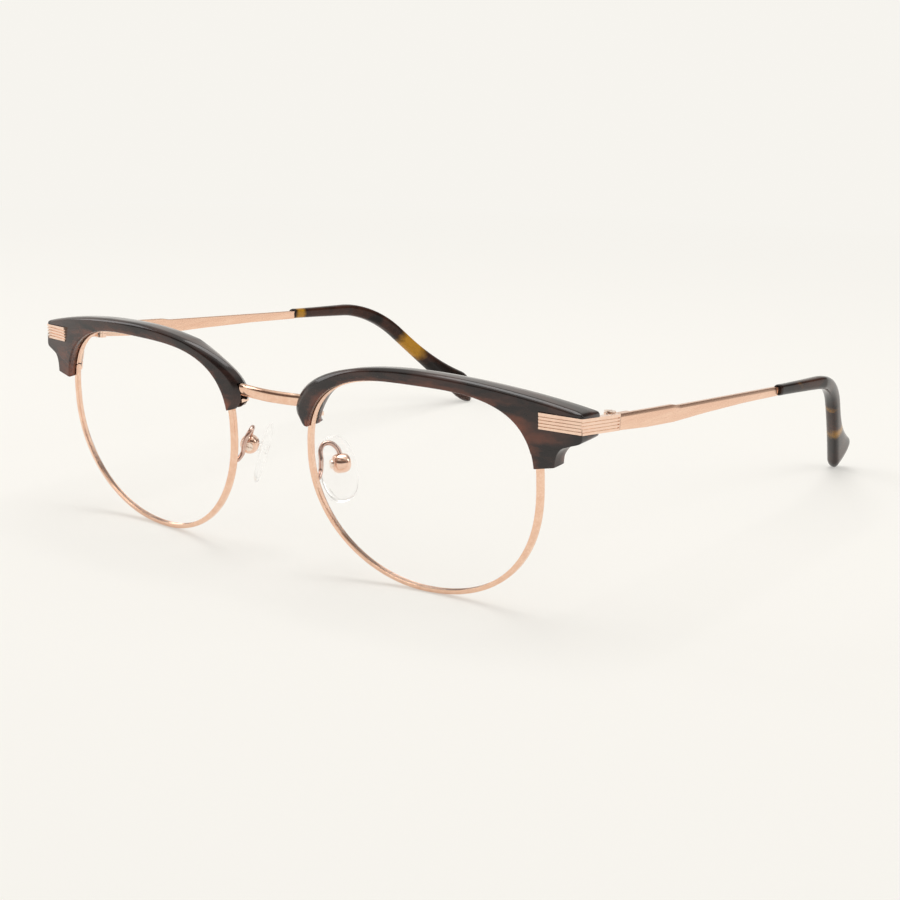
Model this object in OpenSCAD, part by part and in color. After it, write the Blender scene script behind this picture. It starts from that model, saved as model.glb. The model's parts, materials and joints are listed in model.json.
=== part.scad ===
// Browline spectacles: metal eyewires under acetate brow bars, adjustable pads and folding temples.
// Built on the front's own plane, then leaned back until rims and temple tips stand on one table.

/* [Lens shape] */
// Width of the lens opening inside the eyewire
lens_w = 50.6; // [46:0.2:54]
// Height of the lens opening above its middle line
lens_up = 17.4; // [15:0.2:19]
// Height of the lens opening below its middle line
lens_down = 25.3; // [20:0.1:27]
// Squareness of the lens' upper temporal corner, 2 is an ellipse
square_out = 2.9; // [2.2:0.1:3.4]
// Squareness of the lens' upper nasal corner
square_in = 2.8; // [2.2:0.1:3.4]
// Squareness of the lens' lower nasal corner
round_in = 2; // [1.9:0.1:2.4]
// Squareness of the lens' lower temporal corner
round_out = 2.2; // [1.9:0.1:2.6]
// Distance from the middle of the frame to the middle of a lens
lens_x = 36.1; // [35:0.1:39]
// Sideways drift of the lens outline toward the nose, per millimetre down
sway = 0.002; // [0:0.002:0.03]
// Height of the lens' middle line above the frame's datum
lens_z = -0.1; // [-1:0.1:1]
// Radius of the lens' front face
lens_r = 119; // [90:1:200]
// Radius of its lower half from top to bottom
lens_r_low = 80; // [60:1:200]
// Thickness of the lens
lens_t = 1.6; // [1.2:0.1:2]
// Slope of each lens' side sweep, back per sideways millimetre
wrap = 0.106; // [0.05:0.002:0.14]
// Distance from the frame's datum back to the middle of a lens
lens_y = 2.9; // [2:0.1:4]

/* [Eyewire] */
// Width of the eyewire seen from the front
rim_w = 1.05; // [0.9:0.05:1.5]
// Depth of the eyewire from front to back
rim_d = 1.4; // [1.2:0.1:2]
// Depth of the groove that holds the lens
groove_d = 0.45; // [0.3:0.05:0.5]
// Opening of the groove at the eyewire's inner face
groove_w = 0.9; // [0.7:0.05:1]
// Angle above the lens' middle where the eyewire is split
split_a = 15.5; // [14:0.5:17]
// Gap of the split between the two closing blocks
split_gap = 0.3; // [0.2:0.05:0.5]
// Width of a closing block, outward from the eyewire
block_w = 2.2; // [2:0.1:2.4]
// Height of a closing block along the eyewire
block_h = 2.1; // [1.6:0.1:2.4]

/* [Brow bar] */
// How far the brow bar's front face stands before the eyewire
brow_lip = 1.4; // [1:0.1:1.9]
// How far the brow bar's rear face stands behind the eyewire's front
brow_back = 4.5; // [4:0.1:5.5]
// How far its rear edge stands there along the lens
brow_back_in = 2.1; // [1.9:0.1:3]
// How far its leg reaches back at the lower end
leg_back = 1.9; // [1.8:0.1:4]
// How much of the eyewire's width shows below the brow bar
rim_show = 0.5; // [0.3:0.05:0.7]
// Reach of the brow bar's nasal end from the middle of the frame
brow_nose = 6.9; // [6:0.1:7.8]
// Top of the brow bar above the datum
brow_top = 20.3; // [19.5:0.1:22]
// Height at which the brow bar's nasal end is widest
brow_swell = 8.6; // [7.5:0.1:10]
// Radius of the brow bar's long upper edge
brow_r = 122; // [100:1:160]
// Outer end of the brow bar from the middle of the frame
brow_out = 70.8; // [69:0.1:72]
// Underside of the brow bar's outer end above the datum
brow_low = 10; // [9.4:0.1:10.6]
// Width of the bevel along the brow bar's upper front edge
bevel = 0.7; // [0.4:0.1:1]
// Extra width of the bevel at the nasal end
bevel_nose = 1.2; // [0.6:0.1:1.6]
// Fall of the brow bar's top face from front to back
brow_fall = 0.8; // [0.4:0.1:1.2]
// Extra taper of the nasal end from front to back
nose_taper = 2.4; // [1:0.1:2.6]

/* [Bridge and pads] */
// Height of the bridge bar
bridge_h = 2.6; // [2:0.1:2.8]
// Depth of the bridge bar
bridge_d = 1.6; // [1.3:0.1:1.8]
// Height of the bridge's ends above the datum
bridge_z = 10; // [9.3:0.1:11]
// Rise of the bridge at its middle
bridge_rise = 0.1; // [0:0.1:1]
// How far the bridge's middle stands forward of its ends
bridge_bow = 1; // [0:0.1:1.5]
// Diameter of the pad arm's wire
arm_wire = 1; // [0.8:0.05:1.2]
// Height of a nose pad
pad_h = 14; // [11:0.5:15]
// Width of a nose pad
pad_w = 8.2; // [6.5:0.1:8.8]
// Thickness of a nose pad
pad_t = 2; // [1.6:0.1:2.6]
// Turn of a pad's face toward the wearer
pad_splay = 35; // [25:1:42]
// Diameter of the box that holds a pad
box_dia = 3.8; // [3.4:0.1:4.2]
// Diameter of the pad screws
pad_screw_dia = 1; // [0.8:0.1:1.2]

/* [End pieces and hinges] */
// How far an end piece's outer face stands beyond the brow bar's outer end
side_proud = 0; // [0:0.1:0.6]
// Height of an end piece
plate_h = 3.2; // [2.8:0.1:3.4]
// Thickness of end pieces and temples
plate_t = 1.2; // [1:0.1:1.3]
// Length of an end piece's front leg
front_leg = 8.5; // [7:0.1:9]
// Length of an end piece's side leg, from corner to joint
side_leg = 14.2; // [12.5:0.1:15]
// Width of a decorative groove
flute_w = 0.26; // [0.2:0.02:0.34]
// Depth of a decorative groove
flute_d = 0.22; // [0.1:0.02:0.3]
// Number of ridges on an end piece
ridges = 5; // [3:1:6]
// Distance from the frame's datum back to the hinge axis
hinge_y = 23.5; // [22:0.1:25]
// Height of the hinge's middle above the datum
hinge_z = 10.6; // [10:0.1:11.2]
// Diameter of the hinge barrel
barrel_dia = 2.4; // [2.2:0.05:2.5]
// Height of one hinge knuckle
knuckle_h = 1; // [0.9:0.05:1.2]
// Diameter of the hinge screw
screw_dia = 1.3; // [1.1:0.05:1.4]
// Running clearance around each pin
pin_gap = 0.05; // [0.03:0.01:0.08]

/* [Temples] */
// Slope of the temples below the front's square
temple_slope = 8.6; // [6:0.1:11]
// Length of bare metal from the joint to the temple tip
temple_bare = 71.5; // [66:0.5:76]
// Distance from the joint to the shoulder in the temple's top edge
shoulder_at = 22.5; // [18:0.5:26]
// Deepest height of the temple, at its shoulder
temple_deep = 3.6; // [3:0.1:4]
// Height of the temple's slender rear half
temple_thin = 2; // [1.5:0.1:2.3]
// Distance from the joint to the start of the ear bend
bend_at = 93; // [86:0.5:98]
// Radius of the ear bend
bend_r = 34; // [26:1:40]
// Angle of the ear bend
bend_a = 37; // [30:1:45]
// Straight length of the tip past the bend
drop_len = 34; // [28:0.5:38]
// Inward turn of the tip at its end
tip_inward = 12.5; // [8:0.5:14]
// Twist of the tip's paddle, its upper edge outward
tip_twist = 16; // [0:1:20]
// Height of the tip where it starts
tip_h = 2.5; // [2.4:0.1:2.8]
// Height of the tip's paddle
paddle_h = 8.3; // [5:0.1:9]
// Thickness of the tip
tip_t = 2.3; // [2:0.1:3]

/* [Hidden] */

LEFT = 1;
RIGHT = -1;

metal = [0.87, 0.66, 0.54];
steel = [0.72, 0.66, 0.62];
acetate = [0.2, 0.15, 0.13];
clear = [0.85, 0.92, 0.95];

seat_gap = 0.06;
turns = 72;
fine = 40;

// A point of the lens opening at an angle about the lens' middle; grow moves it out along the normal.
function squareness(a) = sin(a) >= 0 ? (cos(a) >= 0 ? square_out : square_in)
  : (cos(a) >= 0 ? round_out : round_in);
function lens_reach(a) = let (
    n = squareness(a),
    v = sin(a) >= 0 ? lens_up : lens_down)
  pow(pow(abs(cos(a)) / (lens_w / 2), n) + pow(abs(sin(a)) / v, n), -1 / n);
function opening(a) = lens_reach(a) * [cos(a) + sway * sin(a), sin(a)];
function across(v) = [v.y, -v.x] / norm(v);
function outline(a, grow = 0) = opening(a) + grow * across(opening(a + 1) - opening(a - 1));

// Depth of the lens' front face at a sideways place x and a height z; it runs straight past the lens.
function dome_x(x) = let (
    edge = lens_x + lens_w / 2,
    u = min(x, edge) - lens_x)
  lens_y + wrap * (x - lens_x) + u * u / (2 * lens_r) + max(x - edge, 0) * u / lens_r;
function dome(x, z) = dome_x(x) + z * z / (2 * (z > 0 ? lens_r : lens_r_low));
function on_face(p, back = 0) = [p.x, dome(p.x, p.y) + back, p.y];
function at_lens(a, grow, back) = let (p = outline(a, grow) + [lens_x, lens_z]) on_face(p, back);

// Joins rings of equally many points into one closed skin; a loop returns to its first ring.
module skin(rings, loop = false) {
  n = len(rings);
  m = len(rings[0]);
  last = loop ? n - 1 : n - 2;
  sides = [for (i = [0 : last], j = [0 : m - 1]) let (
        a = i * m + j,
        b = i * m + (j + 1) % m,
        c = ((i + 1) % n) * m + (j + 1) % m,
        d = ((i + 1) % n) * m + j)
      each [[a, b, c], [a, c, d]]];
  ends = loop ? [] : [[for (j = [m - 1 : -1 : 0]) j], [for (j = [0 : m - 1]) (n - 1) * m + j]];
  polyhedron(points = [for (r = rings) each r], faces = concat(sides, ends), convexity = 8);
}

module on_side(s) {
  mirror([s == LEFT ? 0 : 1, 0, 0]) children();
}

// Eyewire with its lens groove, split at the temporal side.
rim_section = [
  [0, rim_d * 0.94], [rim_w * 0.18, rim_d], [rim_w * 0.75, rim_d], [rim_w, rim_d * 0.8],
  [rim_w, rim_d * 0.2], [rim_w * 0.75, 0], [rim_w * 0.18, 0], [0, rim_d * 0.06],
  [0, (rim_d - groove_w) / 2], [groove_d, rim_d / 2], [0, (rim_d + groove_w) / 2]
];
half_split = split_gap / lens_w * 360 / PI / 2;

function rim_point(i, p) = at_lens(split_a + half_split + i * (360 - 2 * half_split) / turns, p.x, p.y);

module rim(s) {
  color(metal) placed() on_side(s) skin([for (i = [0 : turns]) [for (p = rim_section) rim_point(i, p)]]);
}

// Lens with a bevelled edge that sits in the eyewire's groove.
lens_steps = [0.25, 0.5, 0.75];
lens_front = (rim_d - lens_t) / 2;
edge_half = groove_w / 2 - 0.1;
edge_rings = [
  [-seat_gap, lens_front], [-seat_gap, rim_d / 2 - edge_half], [groove_d - 0.1, rim_d / 2],
  [-seat_gap, rim_d / 2 + edge_half], [-seat_gap, lens_front + lens_t]
];

function inner_ring(k, back) = [for (i = [0 : turns - 1])
  on_face(k * outline(i * 360 / turns, -seat_gap) + [lens_x, lens_z], back)];
function edge_ring(e) = [for (i = [0 : turns - 1]) at_lens(i * 360 / turns, e.x, e.y)];

module lens(s) {
  shrunk = 0.02;
  color(clear, 0.4) placed() on_side(s)
    skin(concat(
      [inner_ring(shrunk, lens_front)],
      [for (k = lens_steps) inner_ring(k, lens_front)],
      [for (e = edge_rings) edge_ring(e)],
      [for (i = [len(lens_steps) - 1 : -1 : 0]) inner_ring(lens_steps[i], lens_front + lens_t)],
      [inner_ring(shrunk, lens_front + lens_t)]
    ));
}

// Outline of the brow bar seen from the front, from the nasal tip over the top to the leg.
nose_steps = 22;
top_steps = 20;
corner_r = 0.5;
function top_z(x) = brow_top - pow(x - lens_x, 2) / (2 * brow_r);
nasal_tip = [
  [brow_nose + 2.8, brow_swell - 2.85], [brow_nose + 2.2, brow_swell - 2.75],
  [brow_nose + 1.2, brow_swell - 2], [brow_nose + 0.35, brow_swell - 1]
];
nose_arc = [for (i = [0 : nose_steps]) let (a = 180 - 90 * i / nose_steps)
  [lens_x + (lens_x - brow_nose) * cos(a), brow_swell + (brow_top - brow_swell) * sin(a)]];
top_arc = [for (i = [1 : top_steps]) let (x = lens_x + (brow_out - corner_r - lens_x) * i / top_steps)
  [x, top_z(x)]];
block_clear = 0.05;
leg_wall = 1.1;
leg_x = lens_x + lens_w / 2 + rim_w + block_w + block_clear + seat_gap + leg_wall;
leg_z = 4.9;
outer_end = [
  [brow_out, top_z(brow_out) - corner_r], [brow_out, (top_z(brow_out) + brow_low) / 2],
  [brow_out, brow_low + corner_r], [brow_out - corner_r, brow_low],
  [brow_out - 2, brow_low - 0.6], [leg_x + 1.2, brow_low - 1.4],
  [leg_x + 0.4, brow_low - 2.5], [leg_x + 0.1, brow_low - 3.7], [leg_x, leg_z]
];
brow_outline = concat(nasal_tip, nose_arc, top_arc, outer_end);

// One slice of the brow bar, in the plane through the lens' middle and an outline point.
function share(x, from, to) = max(0, min(1, (x - from) / (to - from)));
function brow_slice(o) = let (
    m = [lens_x, lens_z],
    a = atan2(o.y - m.y, o.x - m.x),
    d = [cos(a), sin(a)],
    low = m + (lens_reach(a) + rim_show) * d,
    reach = norm(o - low),
    nose = share(o.x, 22, 8),
    b = min(bevel + bevel_nose * nose, reach * 0.55),
    dip = 0.5 + 0.6 * b,
    soft = min(0.25, reach * 0.15),
    f = -brow_lip + 0.2 * nose - 1.1 * share(o.x, lens_x, brow_out),
    lip = f + 0.4 * (1 - nose),
    leg = share(o.x, lens_x, leg_x) * share(o.y, brow_low - 0.5, brow_low - 3.5),
    r = brow_back + (leg_back - brow_back) * leg,
    r_in = min(brow_back_in, r),
    top = o - min(nose_taper * nose, reach * 0.5) * d - [0, brow_fall * share(o.y, brow_low, brow_low + 5)],
    hip = norm(top - low) * 0.55)
  [
    on_face(low, lip + soft), on_face(low + soft * d, lip),
    on_face(o - b * d, f), on_face(o - 0.35 * b * d, f + 0.35 * dip), on_face(o, f + dip),
    on_face(o * 0.5 + top * 0.5 + 0.1 * d, (f + dip + r) / 2), on_face(top, r - min(0.6, r / 4)),
    on_face(top - min(0.6, reach * 0.2) * d, r), on_face(low + hip * d, r - (r - r_in) * 0.15),
    on_face(low + soft * d, r_in), on_face(low, r_in - soft)
  ];

channel_steps = 66;
channel_from = 4;
channel_to = 174;
channel_open = 1.5;
channel_section = [
  [-channel_open, rim_d + seat_gap], [rim_w + seat_gap, rim_d + seat_gap],
  [rim_w + seat_gap, -seat_gap], [-channel_open, -seat_gap]
];

module brow(s) {
  color(acetate) placed() on_side(s) difference() {
    skin([for (o = brow_outline) brow_slice(o)]);
    skin([for (i = [0 : channel_steps])
      let (a = channel_from + (channel_to - channel_from) * i / channel_steps)
      [for (p = channel_section) at_lens(a, p.x, p.y)]]);
    bridge_slot();
    lug_notch();
    brow_screw_line(brow_screw_dia / 2 + 0.01);
    block_pocket();
    front_plate(seat_gap, 3);
    side_plate(seat_gap, 3);
    rivet_pins(rivet_dia / 2 + 0.01, 0.05);
  }
}

// Closing blocks that clamp the eyewire round the lens; they lie in a pocket behind the brow's leg.
rim_screw_dia = 1.2;
rim_screw_head = 1.8;
rim_head_h = 0.6;
block_d = 2.5;
block_front = 0.15;
split_normal = across(opening(split_a + 1) - opening(split_a - 1));

module at_split() {
  translate(at_lens(split_a, rim_w + block_clear, 0))
    rotate([0, -atan2(split_normal.y, split_normal.x), 0]) children();
}

module block_pocket() {
  high = split_gap / 2 + block_h + seat_gap;
  at_split() translate([-seat_gap, 0, -high - 4])
    cube([seat_gap + block_w + seat_gap, 2 * brow_back, 2 * high + 4]);
}

module rim_screw_line(r, from, to) {
  at_split() translate([block_w / 2, block_front + block_d / 2, from])
    cylinder(r = r, h = to - from, $fn = fine);
}

block_end = split_gap / 2 + block_h;

module rim_block(s, up) {
  color(metal) placed() on_side(s) difference() {
    at_split() translate([0, block_front, up ? split_gap / 2 : -block_end])
      cube([block_w, block_d, block_h]);
    rim_screw_line(rim_screw_dia / 2 + 0.02, -block_end - 1, block_end - 0.3);
    if (!up) rim_screw_line(rim_screw_head / 2 + 0.04, -block_end - 1, -block_end + rim_head_h);
  }
}

module rim_screw(s) {
  color(steel) placed() on_side(s) difference() {
    union() {
      rim_screw_line(rim_screw_dia / 2, -block_end + rim_head_h / 2, block_end - 0.4);
      rim_screw_line(rim_screw_head / 2, -block_end + 0.05, -block_end + rim_head_h - 0.02);
    }
    at_split() translate([-1, block_front + block_d / 2 - 0.12, -block_end - 1]) cube([5, 0.24, 1.3]);
  }
}

// Bridge bar, brazed to both eyewires behind the brows' nasal ends.
function nasal_x(z) = let (
    v = (z - lens_z) / (z > lens_z ? lens_up : lens_down),
    n = z > lens_z ? square_in : round_in)
  lens_x + sway * (z - lens_z) - lens_w / 2 * pow(1 - pow(abs(v), n), 1 / n);
bridge_y = dome(nasal_x(bridge_z) - rim_w, bridge_z) + rim_d / 2;
bridge_steps = 26;
function bridge_arch(x) = max(0, 1 - pow(x / brow_nose, 2));

module bridge() {
  reach = nasal_x(bridge_z) + 1;
  color(metal) placed() difference() {
    skin([for (i = [0 : bridge_steps]) let (x = reach * (2 * i / bridge_steps - 1))
      [for (k = [0 : 11]) let (a = 30 * k + 15) [
        x,
        bridge_y - bridge_bow * bridge_arch(x) + bridge_d / 2 * cos(a),
        bridge_z + bridge_rise * bridge_arch(x) + bridge_h / 2 * sin(a)
      ]]]);
    for (s = [LEFT, RIGHT]) on_side(s) translate([lens_x, 30, lens_z]) rotate([90, 0, 0])
      linear_extrude(60) polygon([for (i = [0 : turns - 1]) outline(i * 360 / turns, rim_w + 0.03)]);
  }
}

module bridge_slot() {
  half = bridge_d / 2 + seat_gap;
  translate([0, bridge_y - half, 0])
    cube([nasal_x(bridge_z), 2 * half, bridge_z + bridge_h / 2 + seat_gap]);
}

// Lug behind each eyewire and the screw that ties the brow bar to it.
brow_screw_dia = 1;
brow_screw_head = 1.8;
brow_head_h = 0.6;
lug_z = 6.8;
lug_t = 0.8;
lug_out = nasal_x(lug_z) - 0.1;
lug_y = dome(lug_out - rim_w, lug_z) + rim_d + 0.05;
lug_w = 2.8;
brow_screw_x = lug_out - 1.7;
brow_screw_y = bridge_y + bridge_d / 2 + 1.2;

module lug_notch() {
  translate([0, lug_y - 0.15, 0]) cube([lug_out + 2, 2 * brow_back, lug_z + lug_t + seat_gap]);
}

module brow_screw_line(r) {
  translate([brow_screw_x, brow_screw_y, lug_z - 0.3]) cylinder(r = r, h = 4.3, $fn = fine);
}

module brow_lug(s) {
  color(metal) placed() on_side(s) difference() {
    translate([lug_out - lug_w, lug_y, lug_z]) cube([lug_w, brow_screw_y - lug_y + 0.9, lug_t]);
    brow_screw_line(brow_screw_dia / 2 + 0.02);
  }
}

module brow_screw(s) {
  color(steel) placed() on_side(s) difference() {
    union() {
      brow_screw_line(brow_screw_dia / 2);
      translate([brow_screw_x, brow_screw_y, lug_z - brow_head_h - 0.02])
        cylinder(d = brow_screw_head, h = brow_head_h, $fn = fine);
    }
    translate([brow_screw_x - 2, brow_screw_y - 0.1, lug_z - 1.6]) cube([4, 0.2, 1.2]);
  }
}

// Pad arm, box, screw and pad. The box faces the nose along its own X; its screw runs along its own Y.
box_at = [12.4, 10.6, -4.25];
pad_tilt = 17;
pad_roll = 6;
pad_drop = 1.2;
box_len = 3.6;
cheek = 1;
stem_gap = 0.08;
stem_r = 1.1;
stem_half = box_len / 2 - cheek - stem_gap;
pad_stand = 3.3;
arm_foot = [nasal_x(-6) - rim_w / 2, 0, -6];
arm_start = dome(arm_foot.x, arm_foot.z) + rim_d + 0.12;
arm_path = [
  [arm_foot.x, arm_start, arm_foot.z], [arm_foot.x, arm_start + 0.5, arm_foot.z],
  [arm_foot.x - 0.4, 6.2, -4.8], [10.4, 6.6, -2.8], [9.8, 7.3, -1], [9.8, 8.5, 0], [10.6, 9.8, -0.1],
  [11.6, 10.5, -1.2], [12.2, 10.6, -2.4]
];

// Smooth curve through a list of points, and a round tube along it.
function curve_at(p, i, t) = let (
    a = p[max(i - 1, 0)],
    b = p[i],
    c = p[i + 1],
    d = p[min(i + 2, len(p) - 1)])
  0.5 * (2 * b + (c - a) * t + (2 * a - 5 * b + 4 * c - d) * t * t + (3 * b - a - 3 * c + d) * t * t * t);
function curve(p, n) = concat(
  [for (i = [0 : len(p) - 2], k = [0 : n - 1]) curve_at(p, i, k / n)],
  [p[len(p) - 1]]);
function tube_ring(c, i, r, m) = let (
    way = c[min(i + 1, len(c) - 1)] - c[max(i - 1, 0)],
    w = way / norm(way),
    u = cross(w, [1, 0, 0]),
    n = u / norm(u),
    q = cross(w, n))
  [for (k = [0 : m - 1]) c[i] + r * (cos(360 * k / m) * n + sin(360 * k / m) * q)];

module at_box() {
  translate(box_at) rotate([0, 0, 180 - pad_splay]) rotate([0, pad_tilt, 0]) children();
}

module along_y(r, from, to) {
  translate([0, from, 0]) rotate([-90, 0, 0]) cylinder(r = r, h = to - from, $fn = fine);
}

module pad_arm(s) {
  c = curve(arm_path, 4);
  color(metal) placed() on_side(s) difference() {
    skin([for (i = [0 : len(c) - 1]) tube_ring(c, i, arm_wire / 2, 10)]);
    at_box() along_y(box_dia / 2 + 0.02, -box_len, box_len);
  }
}

box_round = 0.7;

module bead_end(up) {
  translate([0, up * (box_len / 2 - box_round), 0]) rotate([-90 * up, 0, 0])
    cylinder(r1 = box_dia / 2, r2 = box_dia / 2 - box_round * 0.8, h = box_round, $fn = fine);
}

module pad_box(s) {
  room = box_len - 2 * cheek;
  color(metal) placed() on_side(s) at_box() difference() {
    union() {
      along_y(box_dia / 2, box_round - box_len / 2, box_len / 2 - box_round);
      bead_end(1);
      bead_end(-1);
    }
    translate([-stem_r - 0.1, -room / 2, -1.5]) cube([box_dia, room, 3]);
    along_y(pad_screw_dia / 2 + 0.01, -box_len, box_len);
  }
}

module pad_screw(s) {
  color(steel) placed() on_side(s) at_box() difference() {
    union() {
      along_y(pad_screw_dia / 2, -box_len / 2, box_len / 2 + 0.2);
      along_y(pad_screw_dia * 0.95, box_len / 2 + 0.02, box_len / 2 + 0.5);
    }
    translate([-2, box_len / 2 + 0.3, -0.12]) cube([4, 1, 0.24]);
  }
}

pad_sides = 28;
pad_profile = [[-0.5, 0.4], [-0.4, 0.72], [-0.15, 0.95], [0.1, 1], [0.32, 0.9], [0.46, 0.68], [0.5, 0.38]];
function oval(a, n) = pow(pow(abs(cos(a)), n) + pow(abs(sin(a)), n), -1 / n) * [cos(a), sin(a)];
function pad_point(p, a) = let (o = oval(a, 2.3))
  [pad_stand + p.x * pad_t, p.y * pad_w / 2 * o.x, p.y * pad_h / 2 * o.y - pad_drop];

module nose_pad(s) {
  color(clear, 0.5) placed() on_side(s) at_box() difference() {
    union() {
      rotate([-pad_roll, 0, 0])
        skin([for (p = pad_profile) [for (k = [0 : pad_sides - 1]) pad_point(p, -360 * k / pad_sides)]]);
      along_y(stem_r, -stem_half, stem_half);
      translate([0, -stem_half, -0.8]) cube([pad_stand, 2 * stem_half, 1.6]);
    }
    along_y(pad_screw_dia / 2 + pin_gap, -box_len, box_len);
  }
}

// Hinge frame: the hinge axis is its Z, the temple runs back along its Y, outward is its X.
leaf_gap = 0.06;
joint_gap = 0.1;
side_x = brow_out + side_proud;
hinge_x = side_x - plate_t - barrel_dia / 2 - leaf_gap;
plate_in = barrel_dia / 2 + leaf_gap;
corner_rise = 0.35;
front_lift = 0.7;
corner_ease = 0.12;
front_turn = atan(wrap + lens_w / 2 / lens_r);
rivet_dia = 1.1;
rivet_len = 2.2;
rivet_places = [0.34, 0.74];
flute_stop = 0.25;

function at_arm(p) = [
  hinge_x + p.x,
  hinge_y + p.y * cos(temple_slope) + p.z * sin(temple_slope),
  hinge_z - p.y * sin(temple_slope) + p.z * cos(temple_slope)
];

module at_hinge() {
  translate([hinge_x, hinge_y, hinge_z]) rotate([-temple_slope, 0, 0]) children();
}

module at_corner() {
  translate(at_arm([plate_in + plate_t, -side_leg, corner_rise])) rotate([0, 0, 180 + front_turn]) children();
}

// A strip of plate lying on a leg: from and to run along it, each with its lower and upper edge.
module side_strip(from, to, x, t) {
  at_hinge() translate([x, 0, 0]) rotate([90, 0, 90]) linear_extrude(t) polygon([
    [from.x - (from.y - corner_rise) * tan(temple_slope), from.y],
    [from.x - (from.z - corner_rise) * tan(temple_slope), from.z],
    [to.x, to.z], [to.x, to.y]
  ]);
}

module front_strip(from, to, y, t) {
  at_corner() translate([0, y + t, 0]) rotate([90, 0, 0]) linear_extrude(t)
    polygon([[from.x, from.y], [from.x, from.z], [to.x, to.z], [to.x, to.y]]);
}

module side_plate(grow, out) {
  h = plate_h / 2 + grow;
  side_strip([-side_leg - grow, corner_rise - h, corner_rise + h], [-joint_gap / 2, -h, h],
    plate_in - grow, plate_t + grow + out);
}

module front_plate(grow, out) {
  h = plate_h / 2 + grow;
  front_strip([corner_ease, -h, h], [front_leg + grow, front_lift - h, front_lift + h],
    -plate_t - grow, plate_t + grow + out);
}

module flutes() {
  for (k = [1 : ridges - 1]) {
    v = plate_h * (k / ridges - 0.5);
    low = v - flute_w / 2;
    high = v + flute_w / 2;
    side_strip([-side_leg - 1, corner_rise + low, corner_rise + high], [-flute_stop, low, high],
      plate_in + plate_t - flute_d, 1);
    front_strip([-1, low, high], [front_leg + 1, front_lift + low, front_lift + high], -flute_d, 1);
  }
}

module end_piece(s) {
  color(metal) placed() on_side(s) difference() {
    union() {
      side_plate(0, 0);
      front_plate(0, 0);
    }
    flutes();
  }
}

module rivet_pins(r, extra) {
  for (k = rivet_places) at_corner()
    translate([front_leg * k, -plate_t, front_lift * k]) rotate([90, 0, 0])
      cylinder(r = r, h = rivet_len + extra, $fn = fine);
}

module end_rivets(s) {
  color(metal) placed() on_side(s) rivet_pins(rivet_dia / 2, 0);
}

leaf_len = 6.2;
leaf_in = 0.12;
knuckle_gap = 0.05;
barrel_h = 3 * knuckle_h + 2 * knuckle_gap;
sweep_r = barrel_dia / 2 + 0.08;

module barrel(r, from, to) {
  at_hinge() translate([0, 0, from]) cylinder(r = r, h = to - from, $fn = fine);
}

module leaf(from, to, h) {
  at_hinge() translate([leaf_in, from, -h / 2]) cube([plate_in - leaf_in, to - from, h]);
}

module hinge_front(s) {
  half = knuckle_h / 2;
  color(metal) placed() on_side(s) difference() {
    union() {
      leaf(-leaf_len, 0, 2.8);
      barrel(barrel_dia / 2, half + knuckle_gap, barrel_h / 2);
      barrel(barrel_dia / 2, -barrel_h / 2, -half - knuckle_gap);
    }
    barrel(sweep_r, -half - knuckle_gap, half + knuckle_gap);
    barrel(screw_dia / 2 + 0.02, -barrel_h, barrel_h);
  }
}

module hinge_temple(s) {
  half = knuckle_h / 2;
  color(metal) placed() on_side(s) difference() {
    union() {
      leaf(0, leaf_len, 2.8);
      barrel(barrel_dia / 2, -half, half);
    }
    barrel(sweep_r, half, barrel_h);
    barrel(sweep_r, -barrel_h, -half);
    barrel(screw_dia / 2 + pin_gap, -barrel_h, barrel_h);
  }
}

head_h = 0.4;

module hinge_screw(s) {
  top = barrel_h / 2;
  color(steel) placed() on_side(s) difference() {
    union() {
      barrel(screw_dia / 2, -top + 0.05, top + 0.2);
      barrel(barrel_dia / 2 - 0.05, top + 0.02, top + head_h);
    }
    at_hinge() translate([-0.13, -2, top + 0.2]) cube([0.26, 4, 1]);
  }
}

// Temple: flat metal arm with a shoulder in its top edge, ending in a core wire inside the tip.
joint_top = plate_h / 2;
arm_z = 0.15;
shoulder_drop = 0.35;
arm_top = joint_top - 0.1;
arm_profile = [
  [joint_gap / 2, joint_top], [shoulder_at - 3.5, arm_top], [shoulder_at - 1, arm_top],
  [shoulder_at + 2.5, arm_top - shoulder_drop], [shoulder_at + 14, arm_top - shoulder_drop],
  [temple_bare, arm_z + temple_thin / 2], [temple_bare, arm_z - temple_thin / 2],
  [shoulder_at + 32, arm_z - temple_thin / 2 - 0.15], [shoulder_at + 14, arm_top - temple_deep + 0.6],
  [shoulder_at, arm_top - temple_deep], [shoulder_at / 2, arm_top - temple_deep + 0.05],
  [joint_gap / 2, -joint_top]
];
tip_z = 0.4;
tip_set = 0.3;
core_h = 1.4;
core_t = 0.8;
tip_x = plate_in + plate_t / 2 + tip_set;
bend_len = bend_r * bend_a * PI / 180;
tip_end = bend_at + bend_len + drop_len;
inward_from = bend_at + 3;
inward_power = 1.15;
core_end = tip_end - 16;

function ease(t) = let (u = max(0, min(1, t))) u * u * (3 - 2 * u);

// Middle line of the tip: a point and the direction at a length from the joint.
function tip_turn(l) = l < bend_at ? 0 : min(bend_a, (l - bend_at) / bend_r * 180 / PI);
function tip_mid(l) = let (
    a = tip_turn(l),
    run = max(0, l - bend_at - bend_len),
    share = max(0, l - inward_from) / (tip_end - inward_from))
  [
    tip_x - tip_inward * pow(share, inward_power),
    min(l, bend_at) + bend_r * sin(a) + run * cos(a),
    tip_z - bend_r * (1 - cos(a)) - run * sin(a)
  ];
function tip_ring(l, half_t, up, down, corners) = let (
    a = tip_turn(l),
    m = tip_mid(l),
    twist = tip_twist * ease((l - bend_at) / (tip_end - bend_at)),
    n = [0, sin(a), cos(a)],
    x = [1, 0, 0],
    across = cos(twist) * x - sin(twist) * n,
    along = cos(twist) * n + sin(twist) * x)
  [for (c = corners) at_arm(m + half_t * c.x * across + (c.y > 0 ? up : down) * c.y * along)];

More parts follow.
